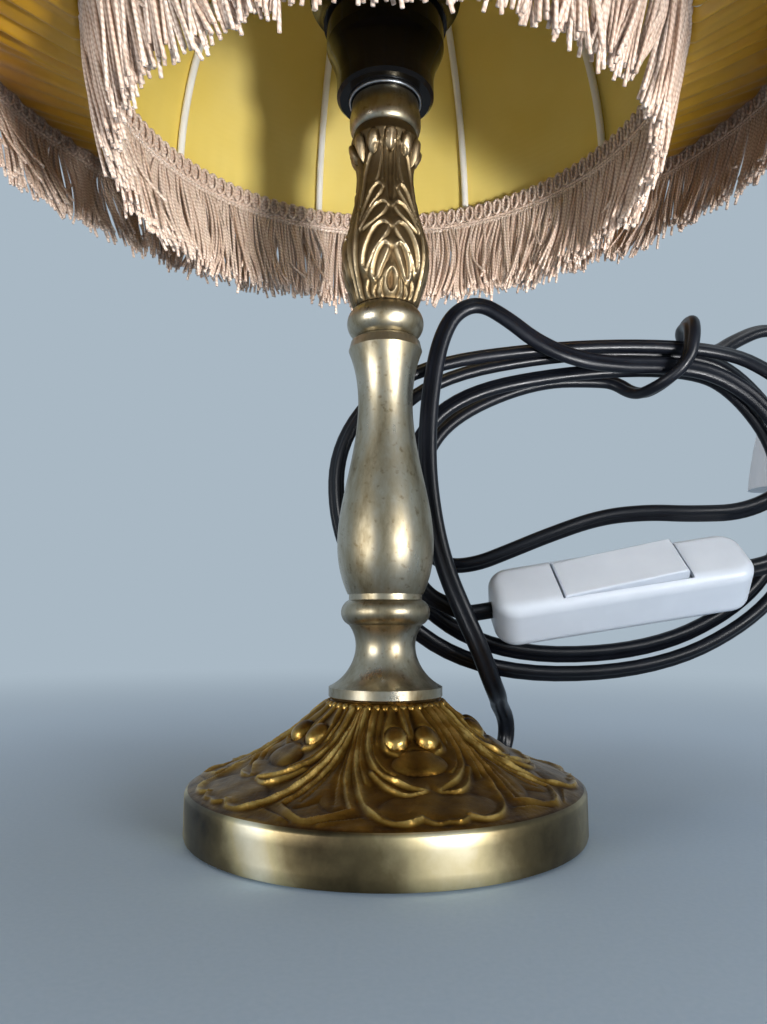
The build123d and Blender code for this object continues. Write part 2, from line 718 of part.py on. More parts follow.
# Rocker: a flat plate on a hub, lying with its right end up by half of its throw
rocker_rest = math.radians(rocker_throw / 2)
rocker_x = switch_x * math.cos(rocker_rest) + switch_z * math.sin(rocker_rest)
rocker_plane = Plane(origin=pivot_origin, x_dir=rocker_x, z_dir=-switch_y)
rocker_top = shell_z_half + rocker_stand - pivot_z
with BuildPart() as rocker:
    with BuildSketch(rocker_plane):
        with BuildLine():
            Polyline(
                (-rocker_l / 2, rocker_top),
                (-rocker_l / 2, rocker_top - rocker_t),
                (-pivot_r - 1.6, rocker_top - rocker_t),
                (-pivot_r - 1.2, 0),
            )
            ThreePointArc((-pivot_r - 1.2, 0), (0, -pivot_r - 1.2), (pivot_r + 1.2, 0))
            Polyline(
                (pivot_r + 1.2, 0),
                (pivot_r + 1.6, rocker_top - rocker_t),
                (rocker_l / 2, rocker_top - rocker_t),
                (rocker_l / 2, rocker_top),
                (-rocker_l / 2, rocker_top),
            )
        make_face()
        Circle(pivot_r + running_gap, mode=Mode.SUBTRACT)
    extrude(amount=rocker_w / 2, both=True)
    fillet(rocker.faces().sort_by(Axis(switch_mid, switch_z))[-1].edges(), 0.5)

with BuildPart() as switch_contacts:
    with BuildSketch(switch_plane.offset(-shell_z_half + switch_wall)):
        with Locations((-10, 0), (10, 0)):
            Rectangle(contact_t * 2, contact_w)
    extrude(amount=shell_z_half - switch_wall)
    with BuildSketch(switch_plane.offset(-shell_z_half + switch_wall)):
        with Locations((-12, 0), (12, 0)):
            Rectangle(contact_w + contact_t, contact_w)
    extrude(amount=contact_t)

with BuildPart() as switch_screws:
    with BuildSketch(switch_plane.offset(-shell_z_half + 0.6)):
        with Locations((-switch_screw_x, 0), (switch_screw_x, 0)):
            Circle(switch_head_r)
    extrude(amount=switch_head_h)
    with BuildSketch(switch_plane.offset(-shell_z_half + 0.6 + switch_head_h)):
        with Locations((-switch_screw_x, 0), (switch_screw_x, 0)):
            Circle(switch_screw_r)
    extrude(amount=switch_d - 2 * switch_wall - switch_head_h - 1.0)

# Plug: a flat moulded body that widens from the flex to the pin face, with two round pins
plug_top = plug_face_z + plug_l
with BuildPart() as plug_body:
    with BuildSketch(Plane((plug_mid[0], plug_mid[1], plug_face_z))):
        RectangleRounded(plug_w, plug_d, plug_d * 0.42)
    with BuildSketch(Plane((plug_mid[0], plug_mid[1], plug_face_z + 0.35 * plug_l))):
        RectangleRounded(plug_w * 0.86, plug_d, plug_d * 0.42)
    with BuildSketch(Plane((plug_mid[0], plug_mid[1], plug_top))):
        RectangleRounded(plug_neck_w, plug_d * 0.72, plug_d * 0.3)
    loft()

with BuildPart() as plug_pins:
    with BuildSketch(Plane((plug_mid[0], plug_mid[1], plug_face_z))):
        with Locations((-pin_spacing / 2, 0), (pin_spacing / 2, 0)):
            Circle(pin_r)
    extrude(amount=-pin_l)
    fillet(plug_pins.faces().group_by(Axis.Z)[0].edges(), pin_r * 0.6)

# Flex from the bush up behind the column, over the bundle and down into the switch's right end
switch_right = Vector(*switch_mid) + switch_x * (switch_l / 2)
switch_left = Vector(*switch_mid) - switch_x * (switch_l / 2)
bush_mouth = cord_way * (base_r + seat_gap + 1.4) + Vector(0, 0, cord_z)
feed_points = [
    bush_mouth,
    bush_mouth + cord_way * 9,
    (33.8, 52.0, 9.2),
    (34.9, 53.8, 16.8),
    (34.0, 50.0, 23.2),
    (33.0, 41.4, 25.4),
    (31.4, 32.4, 24.9),
    (29.0, 23.4, 26.8),
    (26.0, 16.8, 34.6),
    (20.6, 14.0, 47.0),
    (15.4, 14.6, 58.0),
    (12.4, 15.0, 69.5),
    (10.9, 15.2, 82.5),
    (11.0, 15.2, 95.5),
    (12.4, 15.2, 108.0),
    (14.6, 15.2, 118.5),
    (18.4, 15.3, 126.0),
    (25.0, 15.4, 128.8),
    (32.4, 15.5, 124.4),
    (40.5, 15.5, 117.6),
    (51.0, 15.9, 113.2),
    (63.5, 18.2, 112.4),
    (76.0, 20.6, 113.3),
    (88.0, 20.7, 111.6),
    (98.0, 20.7, 105.6),
    (105.0, 20.6, 97.0),
    (109.4, 20.4, 87.4),
    (111.0, 20.2, 77.6),
    (109.0, 20.2, 68.4),
    (104.2, 20.1, 61.9),
    switch_right + switch_x * 6,
    switch_right,
]


def bend_radii(points):
    """Radius of each bend, as large as the two runs beside it allow."""
    corners = [Vector(*p) if isinstance(p, tuple) else p for p in points]
    radii = []
    for before, here, after in zip(corners, corners[1:], corners[2:]):
        turn = math.radians((here - before).get_angle(after - here))
        run = min((here - before).length, (after - here).length)
        radii.append(0.45 * run / math.tan(turn / 2))
    return radii


feed_radii = bend_radii(feed_points)
with BuildPart() as cord_feed:
    with BuildLine():
        feed_route = FilletPolyline(*feed_points, radius=feed_radii)
    with BuildSketch(Plane(origin=feed_route @ 0, z_dir=feed_route % 0)):
        Circle(cord_d / 2)
    sweep(path=feed_route)
print("feed radii", " ".join(f"{r:.1f}" for r in feed_radii))
print("feed length", round(feed_route.length, 1))
cord_section = math.pi * cord_d**2 / 4
print("feed volume over section times length", cord_feed.part.volume / (cord_section * feed_route.length))

# Coil: two turns that grow outwards at the back, a third in front of them, then a wrap round all
# the strands and the tail to the plug
coil_stations = [
    (switch_left - switch_x * cord_d, switch_x * -1),
    (Vector(14.5, 20.4, 49.6), Vector(-0.9, 0.1, 0.42)),
]
for turn in range(2):
    grow = turn * coil_pitch
    coil_stations += [
        (Vector(coil_left - turn * coil_left_pitch, coil_back_y, coil_left_z), Vector(0, 0, 1)),
        (Vector(coil_top_x, coil_back_y, coil_top_z + grow), Vector(1, 0, 0)),
        (Vector(coil_right + grow, coil_back_y, coil_right_z), Vector(0, 0, -1)),
        (Vector(coil_foot_x, coil_back_y, coil_bottom_z - grow), Vector(-1, 0, 0)),
    ]
coil_stations += [
    (Vector(-13.0, 21.0, coil_left_z), Vector(0, 0, 1)),
    (Vector(coil_top_x, coil_back_y - coil_pitch, coil_top_z + coil_pitch), Vector(1, 0, 0)),
    (Vector(110.0, 14.6, 92.0), Vector(0, 0, -1)),
    (Vector(84.0, 17.6, 72.6), Vector(-1, 0.05, 0)),
    (Vector(64.0, 20.0, 72.6), Vector(-1, 0.1, -0.1)),
    (Vector(36.0, 21.4, 64.4), Vector(-0.92, 0.1, -0.36)),
    (Vector(20.0, 24.5, 59.4), Vector(-0.95, 0.3, -0.1)),
    (Vector(9.5, 30.6, 81.0), Vector(0.05, 0.05, 1)),
    (Vector(60.0, 32.0, 112.5), Vector(1, 0, 0)),
    (Vector(71.0, 23.0, 106.6), Vector(0.35, -0.94, 0)),
    (Vector(80.0, 13.8, 116.0), Vector(0.2, 0, 0.98)),
    (Vector(82.5, 23.0, 125.2), Vector(0, 1, 0)),
    (Vector(90.0, 32.4, 121.5), Vector(0.85, 0.1, -0.3)),
    (Vector(105.0, 35.2, 127.0), Vector(0.9, 0.08, 0.43)),
    (Vector(plug_mid[0], plug_mid[1], plug_top + cord_d), Vector(0, 0, -1)),
]
with BuildPart() as cord_coil:
    with BuildLine() as coil_line:
        Line(switch_left, coil_stations[0][0])
        for (here, way), (there, onward) in zip(coil_stations, coil_stations[1:]):
            way = way.normalized()
            onward = onward.normalized()
            span = there - here
            both = way + onward
            a = 2 * (way.dot(onward) - 1)
            b = -2 * span.dot(both)
            c = span.dot(span)
            reach = (-b - math.sqrt(b * b - 4 * a * c)) / (2 * a)
            middle = (here + way * reach + there - onward * reach) * 0.5
            TangentArc(here, middle, tangent=way)
            TangentArc(middle, there, tangent=there - onward * reach - here - way * reach)
        Line(coil_stations[-1][0], (plug_mid[0], plug_mid[1], plug_top))
    coil_route = coil_line.wire()
    with BuildSketch(Plane(origin=coil_route @ 0, z_dir=coil_route % 0)):
        Circle(cord_d / 2)
    sweep(path=coil_route)

# Least gap of the coil to itself and to the feed, measured on points along them
coil_steps = 700
coil_run = coil_route.length
coil_points = [coil_route.position_at(i / coil_steps) for i in range(coil_steps + 1)]
feed_samples = [feed_route.position_at(i / 300) for i in range(301)]
skip = int(4 * cord_d / (coil_run / coil_steps))
self_gap = min(
    (p - q).length for i, p in enumerate(coil_points) for q in coil_points[i + skip :]
)
feed_gap = min((p - q).length for p in coil_points for q in feed_samples)
print("coil length", round(coil_run, 1))
print("coil least gap to itself", round(self_gap - cord_d, 2), "to the feed", round(feed_gap - cord_d, 2))
print("coil volume over section times length", cord_coil.part.volume / (cord_section * coil_run))

pieces = {
    "base_casting": base_casting,
    "base_felt": base_felt,
    "cord_bush": cord_bush,
    "stem_rod": stem_rod,
    "rod_washer": rod_washer,
    "rod_nut": rod_nut,
    "inner_flex": inner_flex,
    "flange_neck": flange_neck,
    "lower_bead": lower_bead,
    "baluster": baluster,
    "upper_bead": upper_bead,
    "leaf_vase": leaf_vase,
    "ball_collar": ball_collar,
    "holder_cap": holder_cap,
    "contact_block": contact_block,
    "holder_skirt": holder_skirt,
    "socket_shell": socket_shell,
    "centre_contact": centre_contact,
    "side_contact": side_contact,
    "terminal_screws": terminal_screws,
    "shade_ring": shade_ring,
    "clamp_ring": clamp_ring,
    "carrier_ring": carrier_ring,
    "carrier_arms": carrier_arms,
    "rim_ring": rim_ring,
    "belly_ring": belly_ring,
    "top_ring": top_ring,
    "lining_ribs": lining_ribs,
    "cover_struts": cover_struts,
    "crown_ribs": crown_ribs,
    "shade_lining": shade_lining,
    "shade_cover": shade_cover,
    "top_braid": top_braid,
    "rim_fringe": rim_fringe,
    "belly_fringe": belly_fringe,
    "switch_base": switch_base,
    "switch_cover": switch_cover,
    "rocker_pin": rocker_pin,
    "rocker": rocker,
    "switch_contacts": switch_contacts,
    "switch_screws": switch_screws,
    "plug_body": plug_body,
    "plug_pins": plug_pins,
    "cord_feed": cord_feed,
    "cord_coil": cord_coil,
}
for name, piece in pieces.items():
    piece.part.label = name
    export_step(piece.part, f"parts/{name}.step")
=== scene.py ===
import math

import bpy
import numpy as np
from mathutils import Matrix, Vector


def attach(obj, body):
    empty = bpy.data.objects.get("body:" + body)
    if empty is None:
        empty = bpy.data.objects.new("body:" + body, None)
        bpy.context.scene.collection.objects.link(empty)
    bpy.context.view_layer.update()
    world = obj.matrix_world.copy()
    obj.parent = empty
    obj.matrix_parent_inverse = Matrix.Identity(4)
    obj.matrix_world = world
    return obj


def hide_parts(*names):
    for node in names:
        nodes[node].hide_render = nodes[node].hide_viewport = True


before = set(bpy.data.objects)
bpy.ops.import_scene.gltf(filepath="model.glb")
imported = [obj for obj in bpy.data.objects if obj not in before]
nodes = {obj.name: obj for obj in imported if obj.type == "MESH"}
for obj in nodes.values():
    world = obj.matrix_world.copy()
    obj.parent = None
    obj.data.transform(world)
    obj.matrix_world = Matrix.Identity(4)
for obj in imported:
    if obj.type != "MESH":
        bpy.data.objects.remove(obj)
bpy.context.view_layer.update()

scene = bpy.context.scene
scene.view_settings.view_transform = "Standard"


# Camera: it stands close in front, low and tilted up a little, so that it looks in under the shade
# as the photograph does. A 27 mm lens on a 36 mm tall frame gives the photograph's wide view.
camera = bpy.data.objects.new("camera", bpy.data.cameras.new("camera"))
camera.location = (-0.00046, -0.1796, 0.0463)
camera.rotation_euler = (math.radians(97.68), 0, 0)
camera.data.sensor_fit = "VERTICAL"
camera.data.sensor_height = 36
camera.data.lens = 27
camera.data.clip_start = 0.005
scene.collection.objects.link(camera)
scene.camera = camera


# Studio: a sheet of pale blue-grey paper that runs from the floor up into the background, a soft lamp in
# front on the right, a small one low on the right that reaches in under the shade, and fills from the
# left and overhead. The paper keeps the lamp's shadow near it and fades into its own glow further off.
paper_tone = "#A9B8C4"


def linear(colour):
    """An sRGB hex colour as linear red, green, blue and alpha."""
    parts = [int(colour[i:i + 2], 16) / 255 for i in (1, 3, 5)]
    return (*[p / 12.92 if p <= 0.04045 else ((p + 0.055) / 1.055) ** 2.4 for p in parts], 1)


def add(tree, kind, links=None, **settings):
    """Adds a node with its settings; links gives each input a value or another node's output."""
    made = tree.nodes.new("ShaderNode" + kind)
    for name, value in settings.items():
        setattr(made, name, value)
    for name, value in (links or {}).items():
        if isinstance(value, bpy.types.NodeSocket):
            tree.links.new(value, made.inputs[name])
        else:
            made.inputs[name].default_value = value
    return made


def start_material(name):
    """A new material, its node tree, and in it the places on the object, in metres."""
    made = bpy.data.materials.new(name)
    made.use_nodes = True
    made.node_tree.nodes.clear()
    return made, made.node_tree, add(made.node_tree, "TexCoord").outputs["Object"]


def seen_directly(tree):
    """1 for rays from the camera and those that a gloss or a clear material sends on, and 0 for the rest."""
    rays = add(tree, "LightPath").outputs
    mirrored = add(tree, "Math", {0: rays["Is Camera Ray"], 1: rays["Is Glossy Ray"]}, operation="MAXIMUM")
    clear = add(tree, "Math", {0: mirrored.outputs[0], 1: rays["Is Transmission Ray"]}, operation="MAXIMUM")
    return clear.outputs[0]


paper, tree, where = start_material("matt_paper")
# Matt background paper: an even tone with a barely seen fibre of about 1 mm.
fibre = add(tree, "TexNoise", {"Vector": where, "Scale": 1000 / 1.0, "Detail": 4})
tone = add(tree, "Mix", {0: fibre.outputs["Fac"], 6: linear("#A6C0DA"), 7: linear("#B4CAE2")}, data_type="RGBA")
shader = add(tree, "BsdfPrincipled", {"Base Color": tone.outputs[2], "Roughness": 0.9})
glow = add(tree, "Emission", {"Color": linear(paper_tone)})
away = add(tree, "VectorMath", {0: where}, operation="LENGTH")
far = add(tree, "MapRange", {0: away.outputs["Value"], 1: 0.10, 2: 0.55}, interpolation_type="SMOOTHSTEP")
faded = add(tree, "Math", {0: far.outputs[0], 1: seen_directly(tree)}, operation="MULTIPLY")
either = add(tree, "MixShader", {0: faded.outputs[0], 1: shader.outputs[0], 2: glow.outputs[0]})
add(tree, "OutputMaterial", {"Surface": either.outputs[0]})

floor_mesh = bpy.data.meshes.new("floor")
floor_mesh.from_pydata([(-6, -6, 0), (6, -6, 0), (6, 6, 0), (-6, 6, 0)], [], [(0, 1, 2, 3)])
floor_mesh.materials.append(paper)
floor = bpy.data.objects.new("floor", floor_mesh)
floor.location.z = -0.0003
scene.collection.objects.link(floor)

world = bpy.data.worlds.new("studio")
world.use_nodes = True
tree = world.node_tree
tree.nodes.clear()
soft = add(tree, "Background", {"Color": linear("#F2E4D2"), "Strength": 0.28})
pale = add(tree, "Background", {"Color": linear(paper_tone), "Strength": 1.0})
either = add(tree, "MixShader", {0: seen_directly(tree), 1: soft.outputs[0], 2: pale.outputs[0]})
add(tree, "OutputWorld", {"Surface": either.outputs[0]})
scene.world = world

for name, place, target, size, power in (
    ("lamp_right", (0.42, -0.55, 0.08), (0, 0.02, 0.17), 0.30, 5.0),
    ("lamp_left", (-0.52, -0.46, 0.06), (-0.02, 0, 0.17), 0.34, 3.8),
    ("lamp_over", (0.1, 0.1, 1.1), (0, 0, 0.1), 0.9, 3.4),
):
    lamp = bpy.data.objects.new(name, bpy.data.lights.new(name, "AREA"))
    lamp.data.energy = power
    lamp.data.size = size
    lamp.location = place
    lamp.rotation_euler = (Vector(target) - Vector(place)).to_track_quat("-Z", "Y").to_euler()
    scene.collection.objects.link(lamp)

lamp = bpy.data.objects.new("lamp_low", bpy.data.lights.new("lamp_low", "SPOT"))
lamp.data.energy = 5.8
lamp.data.shadow_soft_size = 0.02
lamp.data.spot_size = math.radians(60)
lamp.data.spot_blend = 0.9
lamp.location = (0.128, -0.232, 0.014)
lamp.rotation_euler = Vector((-0.149, 0.280, 0.146)).to_track_quat("-Z", "Y").to_euler()
# Flattened, so that its light passes under the fringes at the front
lamp.scale.y = 0.38
scene.collection.objects.link(lamp)


# Flex: black twin flex with a groove between its two cores, 4.9 by 3 mm. One length comes out of the
# base, climbs behind the column and goes over the bundle into the switch; the other leaves the
# switch, winds round in a loose bundle that its own end ties, and goes into the plug. PVC, extruded.
cord_width = 4.9
cord_thick = 3.0
bush_mouth = (24.78, 38.16, 5.2)
switch_left = (27.36, 20.0, 47.71)
# From the bush up to a height of 60 mm the feed's points are set to follow the photograph, within
# 5 mm of the solid's line; they pass under and in front of the bundle's strands
feed_points = [
    bush_mouth, (29.68, 45.71, 5.2), (31.7, 48.3, 5.3), (34.0, 50.9, 7.0), (35.4, 52.4, 10.4), (35.6, 51.9, 14.4),
    (34.7, 49.5, 17.6), (33.2, 45.2, 19.9), (31.6, 39.1, 22.1), (30.5, 32.2, 24.0), (29.2, 25.2, 25.8),
    (27.0, 20.0, 30.0), (23.6, 15.6, 38.2), (19.0, 14.0, 48.2), (15.0, 14.6, 58.4), (12.4, 15.0, 69.5),
    (10.9, 15.2, 82.5), (11.0, 15.2, 95.5), (12.4, 15.2, 108.0),
    (14.6, 15.2, 118.5), (18.4, 15.3, 126.0), (25.0, 15.4, 128.8), (32.4, 15.5, 124.4), (40.5, 15.5, 117.6),
    (51.0, 15.9, 113.2), (63.5, 18.2, 112.4), (76.0, 20.6, 113.3), (88.0, 20.7, 111.6), (98.0, 20.7, 105.6),
    (105.0, 20.6, 97.0), (109.4, 20.4, 87.4), (111.0, 20.2, 77.6), (109.0, 20.2, 68.4), (104.2, 20.1, 61.9),
    (98.87, 20.0, 59.03), (92.94, 20.0, 58.09),
]
coil_points = [
    switch_left, (23.2, 20.0, 47.0), (20.8, 20.0, 46.8), (16.4, 20.3, 48.7), (10.6, 20.9, 51.6), (6.4, 22.4, 58.4),
    (6.0, 25.5, 71.0), (6.0, 25.5, 90.4), (19.4, 25.5, 106.8), (53.5, 25.5, 113.4), (84.4, 25.5, 113.6),
    (96.2, 25.5, 107.0), (107.0, 25.5, 90.2), (107.0, 25.5, 66.4), (96.2, 25.5, 49.8), (68.6, 25.5, 36.4),
    (27.4, 25.5, 36.0), (3.6, 25.5, 53.6), (-4.5, 25.5, 70.4), (-4.5, 25.5, 92.0), (10.8, 25.5, 110.8),
    (50.0, 25.5, 118.6), (85.4, 25.5, 118.4), (98.6, 25.5, 111.8), (112.0, 25.5, 92.2), (112.0, 25.5, 65.4),
    (100.6, 25.5, 46.6), (70.2, 25.5, 31.4), (24.0, 25.5, 31.0), (-3.0, 22.3, 50.2), (-13.0, 21.0, 69.2),
    (-13.0, 21.0, 93.0), (4.4, 20.9, 112.6), (47.4, 20.5, 118.8), (90.2, 20.5, 118.4), (104.8, 16.2, 108.4),
    (110.0, 14.6, 98.0), (110.0, 14.6, 87.4), (105.4, 15.3, 79.8), (93.8, 17.1, 72.8), (79.0, 17.9, 72.4),
    (69.0, 19.5, 73.1), (56.6, 20.7, 72.0), (42.8, 20.7, 67.2), (32.0, 21.8, 62.8), (24.2, 23.2, 59.8),
    (16.8, 25.5, 59.2), (11.6, 27.8, 63.0), (9.2, 30.2, 73.4), (9.8, 31.0, 89.0), (19.0, 31.6, 102.2),
    (42.4, 32.0, 112.4), (62.0, 32.0, 112.6), (65.8, 30.7, 111.0), (68.2, 28.5, 108.2), (70.2, 25.0, 106.6),
    (71.8, 20.9, 106.6), (74.2, 17.4, 107.8), (77.4, 15.1, 110.2), (79.6, 13.8, 113.8), (80.4, 13.8, 117.8),
    (81.2, 15.2, 121.2), (82.0, 17.7, 123.8), (82.5, 21.1, 125.2), (82.5, 24.7, 125.2), (83.6, 28.0, 124.6),
    (85.6, 30.6, 123.3), (88.4, 32.2, 122.1), (91.8, 32.6, 120.9), (96.0, 33.4, 121.5), (101.0, 34.8, 125.0),
    (110.4, 35.7, 129.4), (118.6, 36.3, 127.6), (122.0, 36.6, 123.8), (122.0, 36.6, 121.2), (122.0, 36.6, 117.0),
]

pvc, tree, where = start_material("black_pvc_extruded")
# Flexible PVC has a soft satin gloss; handling leaves it a little uneven and dusty, in patches of 8 mm.
dust = add(tree, "TexNoise", {"Vector": where, "Scale": 1000 / 8, "Detail": 5})
tone = add(tree, "Mix", {0: dust.outputs["Fac"], 6: linear("#06070B"), 7: linear("#10131B")}, data_type="RGBA")
rough = add(tree, "MapRange", {0: dust.outputs["Fac"], 1: 0.3, 2: 0.7, 3: 0.28, 4: 0.42})
fine = add(tree, "TexNoise", {"Vector": where, "Scale": 1000 / 0.5, "Detail": 2})
grain = add(tree, "Bump", {"Strength": 0.1, "Distance": 0.0001, "Height": fine.outputs["Fac"]})
shader = add(tree, "BsdfPrincipled", {
    "Base Color": tone.outputs[2], "Roughness": rough.outputs[0], "Specular IOR Level": 0.26,
    "Normal": grain.outputs[0]})
add(tree, "OutputMaterial", {"Surface": shader.outputs[0]})


def route(points):
    """Points along the NURBS line of a flex whose control points are given in millimetres."""
    curve = bpy.data.curves.new("route", "CURVE")
    curve.dimensions = "3D"
    curve.resolution_u = 8
    line = curve.splines.new("NURBS")
    line.points.add(len(points) - 1)
    for point, (x, y, z) in zip(line.points, points):
        point.co = (x / 1000, y / 1000, z / 1000, 1)
    line.order_u = 3
    line.use_endpoint_u = True
    holder = bpy.data.objects.new("route", curve)
    mesh = bpy.data.meshes.new_from_object(holder)
    along = np.array([v.co[:] for v in mesh.vertices])
    bpy.data.objects.remove(holder)
    bpy.data.curves.remove(curve)
    bpy.data.meshes.remove(mesh)
    return along


def grid_faces(rows, columns, round_rows=False, round_columns=False):
    """Four-sided faces over a grid of points, closed round either way."""
    i = np.arange(rows if round_rows else rows - 1)[:, None]
    j = np.arange(columns if round_columns else columns - 1)[None, :]
    i2, j2 = (i + 1) % rows, (j + 1) % columns
    quads = np.stack([i * columns + j, i * columns + j2, i2 * columns + j2, i2 * columns + j], -1)
    return quads.reshape(-1, 4)


def make_piece(name, points, faces, material, body, slot, *replaced):
    """A smooth mesh piece from points in metres, riding on a body in place of CAD nodes."""
    mesh = bpy.data.meshes.new(name)
    mesh.from_pydata(np.asarray(points).reshape(-1, 3).tolist(), [], [tuple(f) for f in faces])
    mesh.shade_smooth()
    mesh.materials.append(material)
    piece = bpy.data.objects.new(name, mesh)
    scene.collection.objects.link(piece)
    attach(piece, body)
    if replaced:
        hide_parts(*replaced)
    return piece


def unit(rows):
    """Rows of vectors made one long."""
    return rows / np.linalg.norm(rows, axis=-1, keepdims=True)


core_r = cord_thick / 2
core_x = cord_width / 2 - core_r
groove = math.acos(-core_x / core_r)
lobe = np.linspace(-groove, groove, 11)
flex_section = np.concatenate([
    np.stack([core_x + core_r * np.cos(lobe), core_r * np.sin(lobe)], -1)[1:],
    np.stack([-core_x - core_r * np.cos(lobe), -core_r * np.sin(lobe)], -1)[1:],
]) / 1000


def make_flex(name, along, node, facing):
    """A tube of twin flex along a line; facing is how far its broad side turns to the front, in radians."""
    ahead = unit(np.gradient(along, axis=0))
    run = np.cumsum(np.linalg.norm(np.diff(along, axis=0, prepend=along[:1]), axis=1))
    turned = facing + 0.3 * np.sin(2 * math.pi * run / 0.19)
    deep = np.array([0, 1, 0]) - ahead * ahead[:, 1:2]
    aim = deep * np.cos(turned)[:, None] + np.cross(ahead, deep) * np.sin(turned)[:, None]
    wide = np.zeros_like(along)
    wide[0] = unit(aim[0])
    for i in range(1, len(along)):
        carried = wide[i - 1] - ahead[i] * (wide[i - 1] @ ahead[i])
        wide[i] = unit(carried + (0.05 if carried @ aim[i] > 0 else -0.05) * aim[i])
    up = np.cross(ahead, wide)
    rings = along[:, None] + flex_section[:, 0, None] * wide[:, None] + flex_section[:, 1, None] * up[:, None]
    count = len(flex_section)
    faces = [*grid_faces(len(along), count, False, True)]
    faces.append(range(count - 1, -1, -1))
    faces.append(range((len(along) - 1) * count, len(along) * count))
    return make_piece(name, rings, faces, pvc, "lamp", "black_flex", node)


feed_line = route(feed_points)
coil_line = route(coil_points)
flex_feed = make_flex("flex_feed", feed_line, "cord_feed", 1.25)
flex_coil = make_flex("flex_coil", coil_line, "cord_coil", 0.75)


# Base: a hollow brass casting on felt, with a plain polished rim. The slope carries five cartouches of
# two scroll eyes over an oval boss and a shield, and pointed leaves between them. Cast, then the
# recesses left dark with old lacquer while the raised work is rubbed bright.
slope_r = np.array([12.2, 21.1, 32.55, 42.6])
slope_z = np.array([27.7, 20.42, 13.5, 10.1])
cartouches = 5
cartouche_turn = 15.5


def smooth_through(x, y, at):
    """Values on a smooth line through a few points."""
    slope = np.gradient(y, x)
    i = np.clip(np.searchsorted(x, at) - 1, 0, len(x) - 2)
    h = x[i + 1] - x[i]
    t = (at - x[i]) / h
    start = (1 + 2 * t) * (1 - t) ** 2 * y[i] + t * (1 - t) ** 2 * h * slope[i]
    return start + t * t * (3 - 2 * t) * y[i + 1] + t * t * (t - 1) * h * slope[i + 1]


def eased(line, times=3):
    """A polyline with its corners cut again and again until it flows."""
    line = np.array(line, float)
    for _ in range(times):
        cut = np.stack([0.75 * line[:-1] + 0.25 * line[1:], 0.25 * line[:-1] + 0.75 * line[1:]], 1)
        line = np.vstack([line[:1], cut.reshape(-1, 2), line[-1:]])
    return line


def carve(x, y, ridges, domes):
    """Carved work at each place: the height of ridges, steep on their right, and of domes, and how near a foot is."""
    height = np.zeros_like(x)
    foot = np.zeros_like(x)
    for line, width, rise in ridges:
        line = eased(line)
        nearest = np.full_like(x, np.inf)
        left = np.zeros_like(x)
        for a, b in zip(line, line[1:]):
            run = b - a
            t = np.clip(((x - a[0]) * run[0] + (y - a[1]) * run[1]) / max(run @ run, 1e-9), 0, 1)
            off = (x - a[0] - t * run[0]) ** 2 + (y - a[1] - t * run[1]) ** 2
            side = (run[0] * (y - a[1]) - run[1] * (x - a[0])) / np.sqrt(off * (run @ run) + 1e-9)
            left = np.where(off < nearest, np.clip(side, -1, 1), left)
            nearest = np.minimum(nearest, off)
        height = np.maximum(height, rise * np.exp(-(nearest / (width * (1 + 0.55 * (1 + left))) ** 2) ** 0.72))
        foot = np.maximum(foot, np.exp(-nearest / (2.1 * width) ** 2) * (0.7 - 0.3 * left))
    for (cx, cy), (rx, ry), rise in domes:
        inside = 1 - ((x - cx) / rx) ** 2 - ((y - cy) / ry) ** 2
        height = np.maximum(height, rise * np.sqrt(np.clip(inside, 0, 1)))
        foot = np.maximum(foot, np.clip(1 - np.abs(inside) / 0.5, 0, 1) * min(1, rise))
    return height, foot


def plan(line):
    """Points given as degrees from the cartouche's middle and radius, as sideways and outward places."""
    return [(r * math.sin(math.radians(a)), r * math.cos(math.radians(a))) for a, r in line]


base_ridges = [
    (plan(line), width, rise) for line, width, rise in (
        ([(27, 13.4), (27.5, 18), (25, 22.6), (19.6, 27), (12.2, 29.6), (5.5, 31.2), (3, 32)], 0.55, 1.0),
        ([(21, 27.6), (15, 31.4), (9, 33.2), (3, 32.3)], 0.5, 0.95),
        ([(24, 19.5), (21, 24), (16, 26.6), (12, 27.8)], 0.4, 0.5),
        ([(31, 13.4), (30.4, 18.5), (27.6, 25), (23, 29.6)], 0.45, 0.7),
        ([(33.4, 13.4), (33, 18.5), (29.6, 25.6), (24.4, 32.4), (20.6, 37.6), (15.5, 41.2), (10, 41.8), (6.5, 40.2)],
         0.55, 1.05),
        ([(6.5, 40.2), (3.2, 41.9), (0, 41.2)], 0.5, 0.8),
        ([(35.2, 13.4), (34.4, 21), (31.8, 28), (28.4, 33), (25.2, 37.2)], 0.5, 0.95),
        ([(25.2, 37.2), (29, 38.9), (33, 40.6), (36, 41.4)], 0.5, 0.95),
        ([(35.8, 17), (34.9, 25), (32.6, 31.5), (30.4, 35.8)], 0.4, 0.5),
        ([(22, 39.6), (27, 40.6), (32, 42)], 0.4, 0.5),
        ([(12.5, 13.4), (14.5, 15.4), (17.5, 18.4), (16, 22.4), (10, 23.2)], 0.5, 0.8),
        ([(20, 13.4), (21.8, 17), (21, 20.6)], 0.45, 0.6),
        ([(4, 13.4), (2.5, 16.4), (2, 19)], 0.45, 0.6),
    )
]
eye_x, eye_y = plan([(9.5, 19.7)])[0]
eye_size = (2.6, 2.4)
base_domes = [
    ((eye_x, eye_y), eye_size, 1.7),
    (plan([(0, 25)])[0], (5.7, 2.9), 0.7),
    (plan([(0, 36)])[0], (12, 4.6), 0.5),
    (plan([(36, 30)])[0], (3.4, 9.5), 0.5),
]

